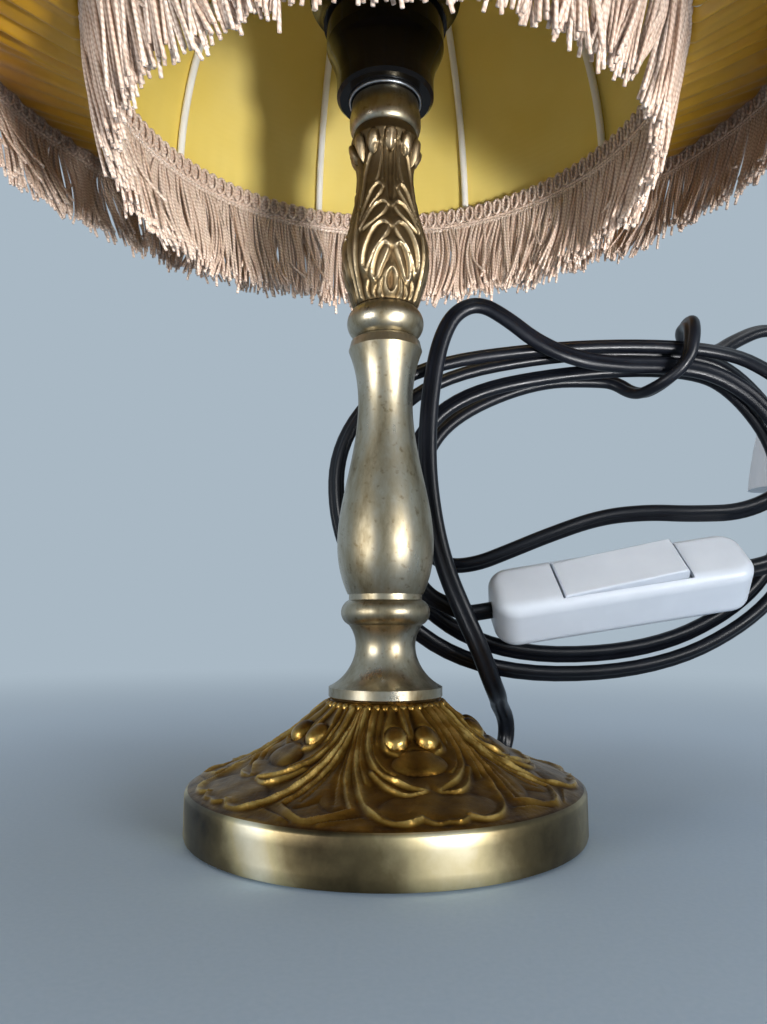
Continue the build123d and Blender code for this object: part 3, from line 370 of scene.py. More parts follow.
rim_profile = [
    (41.2, 0.0), (43.2, 0.0), (43.8, 0.25), (44.0, 0.9), (44.0, 2.8), (44.0, 4.8), (44.0, 6.8), (44.0, 8.8),
    (43.8, 9.4), (43.3, 9.75)]
under_profile = [(12.2, 27.7), (5.15, 27.7), (5.15, 20.0), (12.2, 20.0), (39.0, 7.5), (39.0, 1.4), (41.2, 1.4)]
slope_rows = 150
around = 800
slope_at = np.linspace(42.6, 12.4, slope_rows)
slope_line = np.stack([slope_at, smooth_through(slope_r, slope_z, slope_at)], -1)
profile = np.concatenate([rim_profile, slope_line, under_profile])
turn = np.arange(around) / around * 2 * math.pi
sector = 2 * math.pi / cartouches
# Azimuth 0 is the front; each place is folded into half of one cartouche's sector
folded = np.abs((turn - math.radians(cartouche_turn) + sector / 2) % sector - sector / 2)
place_r = slope_at[:, None]
place_x, place_y = place_r * np.sin(folded), place_r * np.cos(folded)
height, foot = carve(place_x, place_y, base_ridges, [])
dome_height, dome_foot = carve(place_x, place_y, [], base_domes)
fade = np.clip((42.6 - slope_at) / 0.8, 0, 1) * np.clip((slope_at - 12.8) / 0.8, 0, 1)
uneven = np.sin(9 * turn + 0.9 * place_r) * np.sin(14 * turn - 0.6 * place_r) + np.sin(31 * turn + 0.4 * place_r)
carved = np.maximum((0.9 + 0.12 * uneven) * height, dome_height)
lift = (carved - 0.3 * np.maximum(foot, dome_foot) + 0.05 * uneven) * fade[:, None]
lean = unit(np.gradient(slope_line, axis=0))
points = np.repeat(profile[:, None], around, 1)
rows = slice(len(rim_profile), len(rim_profile) + slope_rows)
points[rows, :, 0] += lean[:, 1, None] * lift
points[rows, :, 1] -= lean[:, 0, None] * lift


def from_front(points, turn):
    """Places in metres from radius and height in millimetres, with azimuth 0 at the front."""
    return np.stack([points[..., 0] * np.sin(turn), -points[..., 0] * np.cos(turn), points[..., 1]], -1) / 1000


base_points = from_front(points, turn)
wear_and_painted_light = np.full(points.shape[:2], 0.5)
# The rim's painted reflections: each bright zone's azimuth in degrees, how far it spreads and how bright it is
rim_painted_reflections = ((-74, 11, 0.4), (-32, 9, 0.72), (16, 14, 0.62), (66, 12, 0.3), (108, 16, 0.6), (150, 13, 0.45),
             (196, 18, 0.62), (245, 12, 0.45))
rim_turn = np.degrees(turn) + 0.5 * (np.array(rim_profile)[:, 1, None] - 4.8)
wear_and_painted_light[:len(rim_profile)] = 0.1 + sum(
    bright * np.exp(-(((rim_turn - at + 180) % 360 - 180) / spread) ** 2) for at, spread, bright in rim_painted_reflections)
dark = np.maximum(foot, dome_foot) * np.clip(1 - carved / 0.6, 0, 1)
on_eye = np.hypot((place_x - eye_x) / eye_size[0], (place_y - eye_y) / eye_size[1]) < 1
# Painted light and shade on each scroll eye: lighter on its lower, outer half and darker on its upper half
eye_painted_light = np.where(on_eye, 0.38 * (place_y - eye_y) / eye_size[1], 0)
wear_and_painted_light[rows] = np.clip(0.44 + 0.4 * height + 0.1 * dome_height + eye_painted_light + 0.06 * uneven - 0.36 * dark, 0, 1)

cast, tree, where = start_material("cast_brass_old_lacquer")
# Old cast brass: dark brown along the foot of each ridge, honey brown on the flats and gold where it is
# rubbed, painted light and shade across each scroll eye, with stains of about 5 mm and an uneven skin from
# the mould every 2.5 mm.
wear_and_painted_light_read = add(tree, "Attribute", attribute_name="wear_and_painted_light")
stain = add(tree, "TexNoise", {"Vector": where, "Scale": 1000 / 5, "Detail": 6, "Roughness": 0.65})
worn = add(tree, "Math", {0: stain.outputs["Fac"], 1: 0.9, 2: -0.45}, operation="MULTIPLY_ADD")
shown = add(tree, "Math", {0: wear_and_painted_light_read.outputs["Fac"], 1: worn.outputs[0]}, operation="ADD")
tone = add(tree, "ValToRGB", {"Fac": shown.outputs[0]})
tone.color_ramp.elements[0].color = linear("#241606")
tone.color_ramp.elements[1].color = linear("#D2AE66")
for place, colour in ((0.24, "#483010"), (0.48, "#6C4E1E"), (0.72, "#8C6A30")):
    tone.color_ramp.elements.new(place).color = linear(colour)
rough = add(tree, "MapRange", {0: shown.outputs[0], 1: 0.0, 2: 1.0, 3: 0.5, 4: 0.28})
pits = add(tree, "TexNoise", {"Vector": where, "Scale": 1000 / 2.5, "Detail": 6, "Roughness": 0.6})
grain = add(tree, "Bump", {"Strength": 0.35, "Distance": 0.0006, "Height": pits.outputs["Fac"]})
shader = add(tree, "BsdfPrincipled", {
    "Base Color": tone.outputs["Color"], "Metallic": 1.0, "Roughness": rough.outputs[0], "Normal": grain.outputs[0]})
add(tree, "OutputMaterial", {"Surface": shader.outputs[0]})

polished, tree, where = start_material("brass_worn_polished")
# Rubbed brass: a pale silvery satin with cloudy tarnish in patches of about 7 by 18 mm, drawn out up and
# down, small brown specks of 1.5 mm where the lacquer has gone, and fine scratches from cleaning.
drawn = add(tree, "VectorMath", {0: where, 1: (1, 1, 0.4)}, operation="MULTIPLY")
cloud = add(tree, "TexNoise", {"Vector": drawn.outputs[0], "Scale": 1000 / 7, "Detail": 6, "Roughness": 0.62})
speck = add(tree, "TexNoise", {"Vector": where, "Scale": 1000 / 1.5, "Detail": 3})
spot = add(tree, "MapRange", {0: speck.outputs["Fac"], 1: 0.6, 2: 0.74, 3: 0.0, 4: 0.6})
tone = add(tree, "ValToRGB", {"Fac": cloud.outputs["Fac"]})
tone.color_ramp.elements[0].position = 0.28
tone.color_ramp.elements[0].color = linear("#5C4F36")
tone.color_ramp.elements[1].position = 0.65
tone.color_ramp.elements[1].color = linear("#B2AA98")
tone.color_ramp.elements.new(0.46).color = linear("#938870")
flecked = add(tree, "Mix", {0: spot.outputs[0], 6: tone.outputs["Color"], 7: linear("#5E4822")}, data_type="RGBA")
rough = add(tree, "MapRange", {0: cloud.outputs["Fac"], 1: 0.3, 2: 0.7, 3: 0.46, 4: 0.24})
scratch = add(tree, "TexNoise", {"Vector": where, "Scale": 1000 / 0.7, "Detail": 4})
grain = add(tree, "Bump", {"Strength": 0.05, "Distance": 0.0001, "Height": scratch.outputs["Fac"]})
shader = add(tree, "BsdfPrincipled", {
    "Base Color": flecked.outputs[2], "Metallic": 1.0, "Roughness": rough.outputs[0], "Normal": grain.outputs[0]})
add(tree, "OutputMaterial", {"Surface": shader.outputs[0]})

rim_brass, tree, where = start_material("brass_rim_painted_reflections")
# The rim's brass: pale bright zones painted as reflections of bright surroundings, dull grey brown between,
# with clouds of about 12 mm and fine scratches.
wear_and_painted_light_read = add(tree, "Attribute", attribute_name="wear_and_painted_light")
cloud = add(tree, "TexNoise", {"Vector": where, "Scale": 1000 / 12, "Detail": 5, "Roughness": 0.6})
worn = add(tree, "Math", {0: cloud.outputs["Fac"], 1: 0.6, 2: -0.3}, operation="MULTIPLY_ADD")
shown = add(tree, "Math", {0: wear_and_painted_light_read.outputs["Fac"], 1: worn.outputs[0]}, operation="ADD")
tone = add(tree, "ValToRGB", {"Fac": shown.outputs[0]})
tone.color_ramp.elements[0].color = linear("#332B1F")
tone.color_ramp.elements[1].color = linear("#FFF8E2")
for place, colour in ((0.3, "#7A6C4E"), (0.62, "#CDBD92")):
    tone.color_ramp.elements.new(place).color = linear(colour)
rough = add(tree, "MapRange", {0: shown.outputs[0], 1: 0.0, 2: 1.0, 3: 0.36, 4: 0.42})
scratch = add(tree, "TexNoise", {"Vector": where, "Scale": 1000 / 0.7, "Detail": 4})
grain = add(tree, "Bump", {"Strength": 0.05, "Distance": 0.0001, "Height": scratch.outputs["Fac"]})
shader = add(tree, "BsdfPrincipled", {
    "Base Color": tone.outputs["Color"], "Metallic": 1.0, "Roughness": rough.outputs[0], "Normal": grain.outputs[0]})
add(tree, "OutputMaterial", {"Surface": shader.outputs[0]})


def mark_points(piece, name, values):
    """Keeps one number for each point of a piece, for its material to read."""
    kept = piece.data.attributes.new(name, "FLOAT", "POINT")
    kept.data.foreach_set("value", np.asarray(values, np.float32).ravel())


base = make_piece("base", base_points, grid_faces(len(profile), around, True, True)[:, ::-1],
                  cast, "lamp", "cast_brass", "base_casting")
mark_points(base, "wear_and_painted_light", wear_and_painted_light)
base.data.materials.append(rim_brass)
on_rim = np.zeros((len(profile), around), int)
on_rim[:len(rim_profile) - 1] = 1
base.data.polygons.foreach_set("material_index", on_rim.ravel())
base.data.set_sharp_from_angle(angle=math.radians(40))

# A row of cast pearls closes the relief under the flange
pearl_count = 44
pearl_r = 0.95
pearl_ring = 13.0
pearl_z = 26.6
pearl_rows = 9
pearl_sides = 12
pearl_turn = np.linspace(0, math.pi, pearl_rows)[:, None]
pearl_around = np.arange(pearl_sides) / pearl_sides * 2 * math.pi
pearl = np.stack(np.broadcast_arrays(
    np.sin(pearl_turn) * np.cos(pearl_around), np.sin(pearl_turn) * np.sin(pearl_around), np.cos(pearl_turn)), -1)
pearl_at = np.arange(pearl_count) / pearl_count * 2 * math.pi
pearl_mid = np.stack([
    pearl_ring * np.cos(pearl_at), pearl_ring * np.sin(pearl_at), np.full(pearl_count, pearl_z)], -1)
pearl_points = (pearl_mid[:, None, None] + pearl_r * pearl) / 1000
pearl_faces = grid_faces(pearl_rows, pearl_sides, False, True)
pearl_first = pearl_rows * pearl_sides * np.arange(pearl_count)
pearl_faces = (pearl_faces[None] + pearl_first[:, None, None]).reshape(-1, 4)
pearls = make_piece("base_pearls", pearl_points, pearl_faces, cast, "lamp", "cast_brass")
mark_points(pearls, "wear_and_painted_light", np.full(pearl_points.shape[:3], 0.8))


# Column: brass pieces turned on a lathe and threaded on one rod: flange and neck, two beads, the
# baluster and the collar under the holder. All but the collar keep their solids and take the rubbed brass.
def dress(material, *names):
    """Gives CAD nodes that keep their own shape a material."""
    for name in names:
        mesh = nodes[name].data
        mesh.materials.clear()
        mesh.materials.append(material)


dress(polished, "flange_neck", "lower_bead", "baluster", "upper_bead")

# The collar is one full ball, flattened where it meets the leaf vase and the holder
turned_steps = 96
collar_section = np.array([
    (5.15, 166.1), (7.7, 166.1), (8.35, 166.6), (8.8, 167.5), (9.0, 168.7), (8.97, 170.0), (8.82, 171.3), (8.62, 172.5),
    (8.46, 173.6), (8.4, 174.4), (5.15, 174.4)])


def turn_round(section):
    """Points and faces of a turned piece, from its section as radius and height in millimetres."""
    angle = np.arange(turned_steps) / turned_steps * 2 * math.pi
    r, z = section[:, :1], np.repeat(section[:, 1:], turned_steps, 1)
    points = np.stack([r * np.cos(angle), r * np.sin(angle), z], -1) / 1000
    return points, grid_faces(len(section), turned_steps, True, True)


collar_points, collar_faces = turn_round(collar_section)
collar = make_piece("collar_ball", collar_points, collar_faces[:, ::-1],
                    polished, "lamp", "turned_brass", "ball_collar")
collar.data.set_sharp_from_angle(angle=math.radians(50))

bright_brass, tree, where = start_material("brass_stamped")
# Stamped brass of the screw shell and contacts: clean, yellow, drawn slightly dull in 3 mm clouds.
drawn = add(tree, "TexNoise", {"Vector": where, "Scale": 1000 / 3, "Detail": 4})
tone = add(tree, "Mix", {0: drawn.outputs["Fac"], 6: linear("#A8862F"), 7: linear("#D8BC68")}, data_type="RGBA")
rough = add(tree, "MapRange", {0: drawn.outputs["Fac"], 1: 0.3, 2: 0.7, 3: 0.36, 4: 0.24})
shader = add(tree, "BsdfPrincipled", {"Base Color": tone.outputs[2], "Metallic": 1.0, "Roughness": rough.outputs[0]})
add(tree, "OutputMaterial", {"Surface": shader.outputs[0]})
dress(bright_brass, "socket_shell", "centre_contact", "side_contact", "switch_contacts", "plug_pins")

zinc, tree, where = start_material("zinc_plated_steel")
# Zinc plate: a bluish grey with soft spangles of about 2 mm.
spangle = add(tree, "TexVoronoi", {"Vector": where, "Scale": 1000 / 2})
tone = add(tree, "Mix", {0: spangle.outputs["Distance"], 6: linear("#8C9298"), 7: linear("#B9BEC2")}, data_type="RGBA")
rough = add(tree, "MapRange", {0: spangle.outputs["Distance"], 1: 0.0, 2: 0.8, 3: 0.42, 4: 0.3})
shader = add(tree, "BsdfPrincipled", {"Base Color": tone.outputs[2], "Metallic": 1.0, "Roughness": rough.outputs[0]})
add(tree, "OutputMaterial", {"Surface": shader.outputs[0]})
dress(zinc, "stem_rod", "rod_washer", "rod_nut", "terminal_screws", "switch_screws", "rocker_pin")

felt, tree, where = start_material("green_wool_felt")
# Wool felt under the base: a matt nap of short crossing hairs, drawn 0.7 mm coarse to show.
nap = add(tree, "TexNoise", {"Vector": where, "Scale": 1000 / 0.7, "Detail": 5})
tone = add(tree, "Mix", {0: nap.outputs["Fac"], 6: linear("#1E3324"), 7: linear("#3E5C45")}, data_type="RGBA")
lift = add(tree, "Bump", {"Strength": 0.6, "Distance": 0.0003, "Height": nap.outputs["Fac"]})
shader = add(tree, "BsdfPrincipled", {
    "Base Color": tone.outputs[2], "Roughness": 0.95, "Sheen Weight": 0.4, "Normal": lift.outputs[0]})
add(tree, "OutputMaterial", {"Surface": shader.outputs[0]})
dress(felt, "base_felt")


# Leaf vase: the cast top of the column, with three acanthus leaves of looped lobes under long flutes,
# and a crown of leaf tips that curl out under the collar. Cast brass, its edges rubbed pale.
vase_foot = 120.4
leaf_h = 42.8
vase_rise = np.array([0.0, 11.88, 26.05, 35.65, leaf_h])
vase_r = np.array([7.5, 10.3, 7.6, 6.9, 8.6])
leaves = 3
leaf_turn = 9.0
leaf_ridges = [
    ([(1.0, 41), (0.9, 34), (0.8, 27), (0.5, 24.6)], 0.34, 0.35),
    ([(2.2, 40), (1.9, 34), (1.7, 30.4)], 0.34, 0.35),
    ([(2.6, 39.4), (3.8, 39.7), (5.2, 37), (6.4, 33), (7.0, 28.5), (7.7, 24)], 0.42, 0.55),
    ([(2.6, 39.4), (2.1, 37.4), (2.4, 33.6), (3.2, 30.2)], 0.42, 0.55),
    ([(1.9, 28.2), (2.6, 29.6), (4.4, 28.2), (6.4, 23.8), (7.8, 19.6)], 0.42, 0.65),
    ([(1.9, 28.2), (2.2, 26.8), (3.6, 24.9), (5.5, 22), (7.2, 19.2)], 0.4, 0.6),
    ([(0.8, 23.0), (1.6, 24.3), (3.6, 23.6), (5.8, 21), (7.8, 17.0)], 0.44, 0.7),
    ([(0.8, 23.0), (1.2, 21.6), (2.6, 19.8), (4.5, 18.2), (6.8, 16.8)], 0.42, 0.65),
    ([(0.7, 17.0), (1.7, 18.3), (3.6, 17.6), (5.6, 14.6), (7.1, 10.6), (7.2, 7.6), (6.2, 6.4)], 0.46, 0.8),
    ([(0.7, 17.0), (0.9, 15.6), (2.1, 13.4), (4.1, 10.8), (5.2, 8.0), (6.2, 6.4)], 0.44, 0.75),
    ([(0.9, 11.8), (1.9, 12.8), (3.3, 11.4), (4.4, 8.4), (4.7, 5.4), (4.0, 4.2)], 0.46, 0.8),
    ([(0.9, 11.8), (0.9, 10.4), (1.7, 8.4), (2.6, 6.2), (3.1, 4.4), (4.0, 4.2)], 0.44, 0.75),
    ([(0, 6.6), (1.0, 5.6), (1.3, 3.4), (0.8, 1.6), (0, 1.2)], 0.44, 0.8),
    ([(2.2, 4.0), (2.6, 1.8), (2.0, 0.4)], 0.42, 0.6),
    ([(5.6, 4.0), (6.0, 2.2), (5.2, 0.5)], 0.42, 0.6),
    ([(3.6, 2.6), (4.2, 1.4), (3.7, 0.4)], 0.4, 0.5),
    ([(8.2, 22), (9.2, 15.3), (9.6, 10.3), (8.8, 5.3), (7.2, 0.6)], 0.46, 0.7),
]
leaf_domes = [
    ((0, 40.6), (1.5, 3.0), 1.35), ((4.3, 40.0), (1.5, 2.8), 1.25), ((8.9, 38.6), (2.2, 4.4), 1.5),
]
vase_rows = 190
vase_around = 420
rise = np.linspace(0, leaf_h, vase_rows)
vase_line = np.stack([smooth_through(vase_rise, vase_r, rise), vase_foot + rise], -1)
vase_rest = [(8.6, 163.6), (8.2, 164.9), (7.9, 166.1), (5.15, 166.1), (5.15, 120.4)]
profile = np.concatenate([vase_line, vase_rest])
turn = np.arange(vase_around) / vase_around * 2 * math.pi
sector = 2 * math.pi / leaves
folded = np.abs((turn - math.radians(leaf_turn) + sector / 2) % sector - sector / 2)
sideways = vase_line[:, 0, None] * folded
height, foot = carve(sideways, np.repeat(rise[:, None], vase_around, 1), leaf_ridges, leaf_domes)
fade = np.clip(rise / 0.8, 0, 1) * np.clip((leaf_h - rise) / 0.5, 0.2, 1)
points = np.repeat(profile[:, None], vase_around, 1)
points[:vase_rows, :, 0] += (height - 0.35 * foot) * fade[:, None]
vase_points = from_front(points, turn)
# Over the leaves the ground grows lighter towards the top, and the veins paler towards the bottom
low = np.clip(1.25 - rise / 36, 0.35, 1)[:, None]
wear_and_painted_light = np.full(points.shape[:2], 0.45)
dark = foot * np.clip(1 - height / 0.45, 0, 1)
wear_and_painted_light[:vase_rows] = np.clip(0.3 + 0.34 * (rise / leaf_h)[:, None] + 0.66 * height * low - 0.42 * dark, 0, 1)

leafwork, tree, where = start_material("brass_leafwork_rubbed")
# The same old brass, greyer than the base: dark along the foot of each vein, brown grey on the leaf and
# silvery beige on the rubbed edges, with stains of about 3 mm and a stippled ground of 0.5 mm.
wear_and_painted_light_read = add(tree, "Attribute", attribute_name="wear_and_painted_light")
stain = add(tree, "TexNoise", {"Vector": where, "Scale": 1000 / 3, "Detail": 6, "Roughness": 0.65})
worn = add(tree, "Math", {0: stain.outputs["Fac"], 1: 0.5, 2: -0.25}, operation="MULTIPLY_ADD")
shown = add(tree, "Math", {0: wear_and_painted_light_read.outputs["Fac"], 1: worn.outputs[0]}, operation="ADD")
tone = add(tree, "ValToRGB", {"Fac": shown.outputs[0]})
tone.color_ramp.elements[0].color = linear("#2A1D10")
tone.color_ramp.elements[1].color = linear("#BBA88A")
for place, colour in ((0.22, "#413220"), (0.46, "#63533A"), (0.74, "#807056")):
    tone.color_ramp.elements.new(place).color = linear(colour)
rough = add(tree, "MapRange", {0: shown.outputs[0], 1: 0.0, 2: 1.0, 3: 0.56, 4: 0.42})
stipple = add(tree, "TexNoise", {"Vector": where, "Scale": 1000 / 0.5, "Detail": 2})
grain = add(tree, "Bump", {"Strength": 0.2, "Distance": 0.0002, "Height": stipple.outputs["Fac"]})
shader = add(tree, "BsdfPrincipled", {
    "Base Color": tone.outputs["Color"], "Metallic": 1.0, "Roughness": rough.outputs[0], "Normal": grain.outputs[0]})
add(tree, "OutputMaterial", {"Surface": shader.outputs[0]})
vase = make_piece("leaf_column", vase_points, grid_faces(len(profile), vase_around, True, True)[:, ::-1],
                  leafwork, "lamp", "turned_brass", "leaf_vase")
mark_points(vase, "wear_and_painted_light", wear_and_painted_light)
vase.data.set_sharp_from_angle(angle=math.radians(60))


# Lampholder: cap, skirt and two rings moulded in black bakelite, with a porcelain contact block.
# The upper ring is the loose one that clamps the shade's carrier.
bakelite, tree, where = start_material("black_bakelite_moulded")
# Compression-moulded phenolic: deep brown-black with a hard gloss, faintly rippled every 5 mm or so.
ripple = add(tree, "TexNoise", {"Vector": where, "Scale": 1000 / 5, "Detail": 3})
tone = add(tree, "Mix", {0: ripple.outputs["Fac"], 6: linear("#050404"), 7: linear("#100C09")}, data_type="RGBA")
rough = add(tree, "MapRange", {0: ripple.outputs["Fac"], 1: 0.3, 2: 0.7, 3: 0.1, 4: 0.22})
wave = add(tree, "Bump", {"Strength": 0.05, "Distance": 0.0004, "Height": ripple.outputs["Fac"]})
shader = add(tree, "BsdfPrincipled", {
    "Base Color": tone.outputs[2], "Roughness": rough.outputs[0], "Specular IOR Level": 0.18,
    "Normal": wave.outputs[0]})
add(tree, "OutputMaterial", {"Surface": shader.outputs[0]})
dress(bakelite, "holder_cap", "holder_skirt", "shade_ring", "clamp_ring", "contact_block", "cord_bush")
dress(pvc, "inner_flex")

# A zinc-plated ferrule is pressed into the cap's mouth and shows as a bright thin edge over the collar
ferrule_section = np.array([(8.65, 175.75), (8.65, 174.8), (8.95, 174.65), (9.2, 174.9), (9.2, 175.75)])
make_piece("cap_ferrule", *turn_round(ferrule_section), zinc, "lamp", "zinc_steel")


# Shade frame: three rings, ribs, struts and a three-armed carrier of steel wire, welded and then dipped in
# white paint. The carrier's ring is clamped between the holder's two rings.
enamel, tree, where = start_material("white_stove_enamel")
# Dipped white paint over wire: softly glossy, yellowed unevenly over 12 mm, with 1.5 mm runs.
aged = add(tree, "TexNoise", {"Vector": where, "Scale": 1000 / 12, "Detail": 4})
tone = add(tree, "Mix", {0: aged.outputs["Fac"], 6: linear("#E2DED4"), 7: linear("#F7F6F3")}, data_type="RGBA")
drips = add(tree, "TexNoise", {"Vector": where, "Scale": 1000 / 1.5, "Detail": 2})
wave = add(tree, "Bump", {"Strength": 0.15, "Distance": 0.0002, "Height": drips.outputs["Fac"]})
shader = add(tree, "BsdfPrincipled", {"Base Color": tone.outputs[2], "Roughness": 0.4, "Normal": wave.outputs[0]})
add(tree, "OutputMaterial", {"Surface": shader.outputs[0]})
dress(enamel, "carrier_ring", "carrier_arms", "rim_ring", "belly_ring", "top_ring", "lining_ribs",
      "cover_struts", "crown_ribs")


# Lining: thin gold satin stretched over the nine ribs inside the shade and sewn to the rim and top
# rings, so that it runs flat from rib to rib.
rim_ring = np.array([74.0, 182.1])
dome = np.array([74.0, 90.0])
rib_azimuth = math.radians(28)
ribs = 9
lining_off = 1.4
lining_rows = 40
lining_around = 432
climb = np.linspace(math.asin(2.4 / dome[1]), math.acos(36 / dome[0]) - 0.031, lining_rows)[:, None]
turn = np.arange(lining_around)[None, :] / lining_around * 2 * math.pi
share = np.linspace(0, 1, lining_rows)[:, None]
panel = np.sin((turn - rib_azimuth) / (2 * math.pi) * ribs * math.pi) ** 2
dip = 1.7 * panel * np.sin(math.pi * share) ** 0.7
pull = 0.14 * np.sin(84 * turn + 2 * np.sin(5 * turn)) * (np.exp(-share / 0.08) + np.exp(-(1 - share) / 0.06))


def dome_layer(off):
    """The lining's surface, off millimetres outside the ribs' own ellipse."""
    reach = dome + lining_off + off
    r = (reach[0] - dip + pull) * np.cos(climb)
    z = rim_ring[1] + (reach[1] - dip) * np.sin(climb)
    return np.stack([r * np.cos(turn), r * np.sin(turn), np.broadcast_to(z, r.shape)], -1) / 1000


satin, tree, where = start_material("gold_satin_woven")
# Acetate satin: long floating threads give a broad sheen, with a faint ribbed weave, drawn every 2 mm to
# show, and soft clouds of 40 mm.
weft = add(tree, "TexWave", {"Vector": where, "Scale": 314.16 / 2, "Distortion": 1.5, "Detail": 2},
           bands_direction="Z")
cloudy = add(tree, "TexNoise", {"Vector": where, "Scale": 1000 / 40, "Detail": 3})
tone = add(tree, "Mix", {0: cloudy.outputs["Fac"], 6: linear("#D8B940"), 7: linear("#EEDB8A")}, data_type="RGBA")
weave = add(tree, "Bump", {"Strength": 0.1, "Distance": 0.0001, "Height": weft.outputs["Fac"]})
shader = add(tree, "BsdfPrincipled", {
    "Base Color": tone.outputs[2], "Roughness": 0.46, "Specular IOR Level": 0.5, "Sheen Weight": 0.2,
    "Sheen Roughness": 0.4, "Normal": weave.outputs[0]})
add(tree, "OutputMaterial", {"Surface": shader.outputs[0]})
layers = np.concatenate([dome_layer(0), dome_layer(0.5)[::-1]])
lining = make_piece("satin_lining", layers, grid_faces(2 * lining_rows, lining_around, True, True)[:, ::-1],
                    satin, "shade", "lining_satin", "shade_lining")


# Cover: thin gold taffeta gathered on the rim ring, drawn out over the belly ring and gathered again
# on the top ring, so that fine folds run up and down all the way round.
belly_ring = np.array([111.0, 200.0])
top_ring_r = 36.0
crown_top = 263.4
crown_bulge = 15.0
cover_reach = 2.2
cover_around = 1296
across = np.array([top_ring_r, crown_top]) - belly_ring
chord = np.hypot(*across)
crown_r = chord**2 / (8 * crown_bulge) + crown_bulge / 2
crown_mid = (belly_ring + (top_ring_r, crown_top)) / 2
crown_mid = crown_mid - (crown_r - crown_bulge) * np.array([across[1], -across[0]]) / chord
strut_turn = math.atan2(*(belly_ring - rim_ring)[::-1])
crown_from = math.atan2(*(belly_ring - crown_mid)[::-1])
crown_to = math.atan2(crown_top - crown_mid[1], top_ring_r - crown_mid[0])


def arc(centre, radius, start, end, steps):
    """Points on an arc, as radius and height."""
    angle = np.linspace(start, end, steps)
    return centre + radius * np.stack([np.cos(angle), np.sin(angle)], -1)


under = strut_turn - math.pi / 2
below = cover_reach * np.array([math.cos(under), math.sin(under)])
profile = np.concatenate([
    arc(rim_ring, cover_reach, math.radians(-150), under, 6)[:-1],
    rim_ring + below + np.linspace(0, 1, 14)[:-1, None] * (belly_ring - rim_ring),
    arc(belly_ring, cover_reach, under, crown_from, 8)[:-1],
    arc(crown_mid, crown_r + cover_reach, crown_from, crown_to, 34),
])
cover_rows = len(profile)
out = unit(np.gradient(profile, axis=0))
out = np.stack([out[:, 1], -out[:, 0]], -1)
chance = np.random.default_rng(4)
turn = np.arange(cover_around) / cover_around * 2 * math.pi
folds = sum(
    chance.uniform(0.4, 1) * np.sin(k * turn + chance.uniform(0, 6.3)) for k in (61, 78, 83, 97, 104, 118, 131)) / 2.6
ways = np.concatenate([[0], np.cumsum(np.hypot(*np.diff(profile, axis=0).T))])
ways /= ways[-1]
depth = np.interp(ways, [0, 0.1, 0.26, 0.34, 0.6, 0.92, 1], [0.7, 1.0, 0.5, 0.3, 0.45, 1.0, 0.6])
drift = 0.012 * np.sin(9 * turn)[None, :] * np.sin(math.pi * ways)[:, None]
folds = np.interp((turn[None, :] + drift) % (2 * math.pi), np.append(turn, 2 * math.pi), np.append(folds, folds[0]))


def cover_layer(off):
    """The gathered cloth's surface, off millimetres outside its middle."""
    moved = profile[:, None] + out[:, None] * (depth[:, None] * folds + off)[..., None]
    return np.stack([moved[..., 0] * np.cos(turn), moved[..., 0] * np.sin(turn), moved[..., 1]], -1) / 1000


taffeta, tree, where = start_material("gold_taffeta_gathered")
# Silk-like taffeta: a crisp rib, drawn every 1.5 mm to show, a glow that turns with the folds, and
# clouds of 15 mm where it has faded.
weft = add(tree, "TexWave", {"Vector": where, "Scale": 314.16 / 1.5, "Distortion": 2.0, "Detail": 2},
           bands_direction="Z")
cloudy = add(tree, "TexNoise", {"Vector": where, "Scale": 1000 / 15, "Detail": 4})
tone = add(tree, "Mix", {0: cloudy.outputs["Fac"], 6: linear("#B07C0C"), 7: linear("#DAA626")}, data_type="RGBA")
weave = add(tree, "Bump", {"Strength": 0.15, "Distance": 0.0001, "Height": weft.outputs["Fac"]})
shader = add(tree, "BsdfPrincipled", {
    "Base Color": tone.outputs[2], "Roughness": 0.4, "Sheen Weight": 0.15, "Sheen Roughness": 0.35,
    "Normal": weave.outputs[0]})
add(tree, "OutputMaterial", {"Surface": shader.outputs[0]})
layers = np.concatenate([cover_layer(-0.2), cover_layer(0.2)[::-1]])
cover = make_piece("taffeta_cover", layers, grid_faces(2 * cover_rows, cover_around, True, True)[:, ::-1],
                   taffeta, "shade", "gold_cloth", "shade_cover")


# Fringes: two rows of bullion fringe, one on the rim ring and one on the belly ring. Each has a header
# of looped gimp with a hem of twisted rayon strands, cut by hand, hanging a little inwards.
def spin(paths, radius, sides=5):
    """Tubes of yarn along lines of points: their points, faces and the place round and along each."""
    count, steps = paths.shape[:2]
    ahead = unit(np.gradient(paths, axis=1))
    side = unit(np.cross(ahead, unit(paths * (1, 1, 0) + (0, 0, 0.001))))
    up = np.cross(ahead, side)
    angle = np.arange(sides) / sides * 2 * math.pi
    ring = side[:, :, None] * np.cos(angle)[:, None] + up[:, :, None] * np.sin(angle)[:, None]
    points = paths[:, :, None] + radius * ring
    run = np.cumsum(np.linalg.norm(np.diff(paths, axis=1, prepend=paths[:, :1]), axis=-1), axis=1)
    mark = np.stack(np.broadcast_arrays(np.cos(angle), np.sin(angle), run[:, :, None]), -1)
    tube = grid_faces(steps, sides, False, True)
    faces = [tuple(q) for q in (tube[None] + (np.arange(count) * steps * sides)[:, None, None]).reshape(-1, 4)]
    for i in range(count):
        first = i * steps * sides
        faces.append(tuple(range(first + sides - 1, first - 1, -1)))
        faces.append(tuple(range(first + (steps - 1) * sides, first + steps * sides)))
    return points.reshape(-1, 3), faces, mark.reshape(-1, 3)


def round_place(angle, r, z):
    """Places round the lamp's axis from angle, radius and height."""
    return np.stack([r * np.cos(angle), r * np.sin(angle), z], -1)


yarn, tree, _ = start_material("rayon_yarn_twisted")
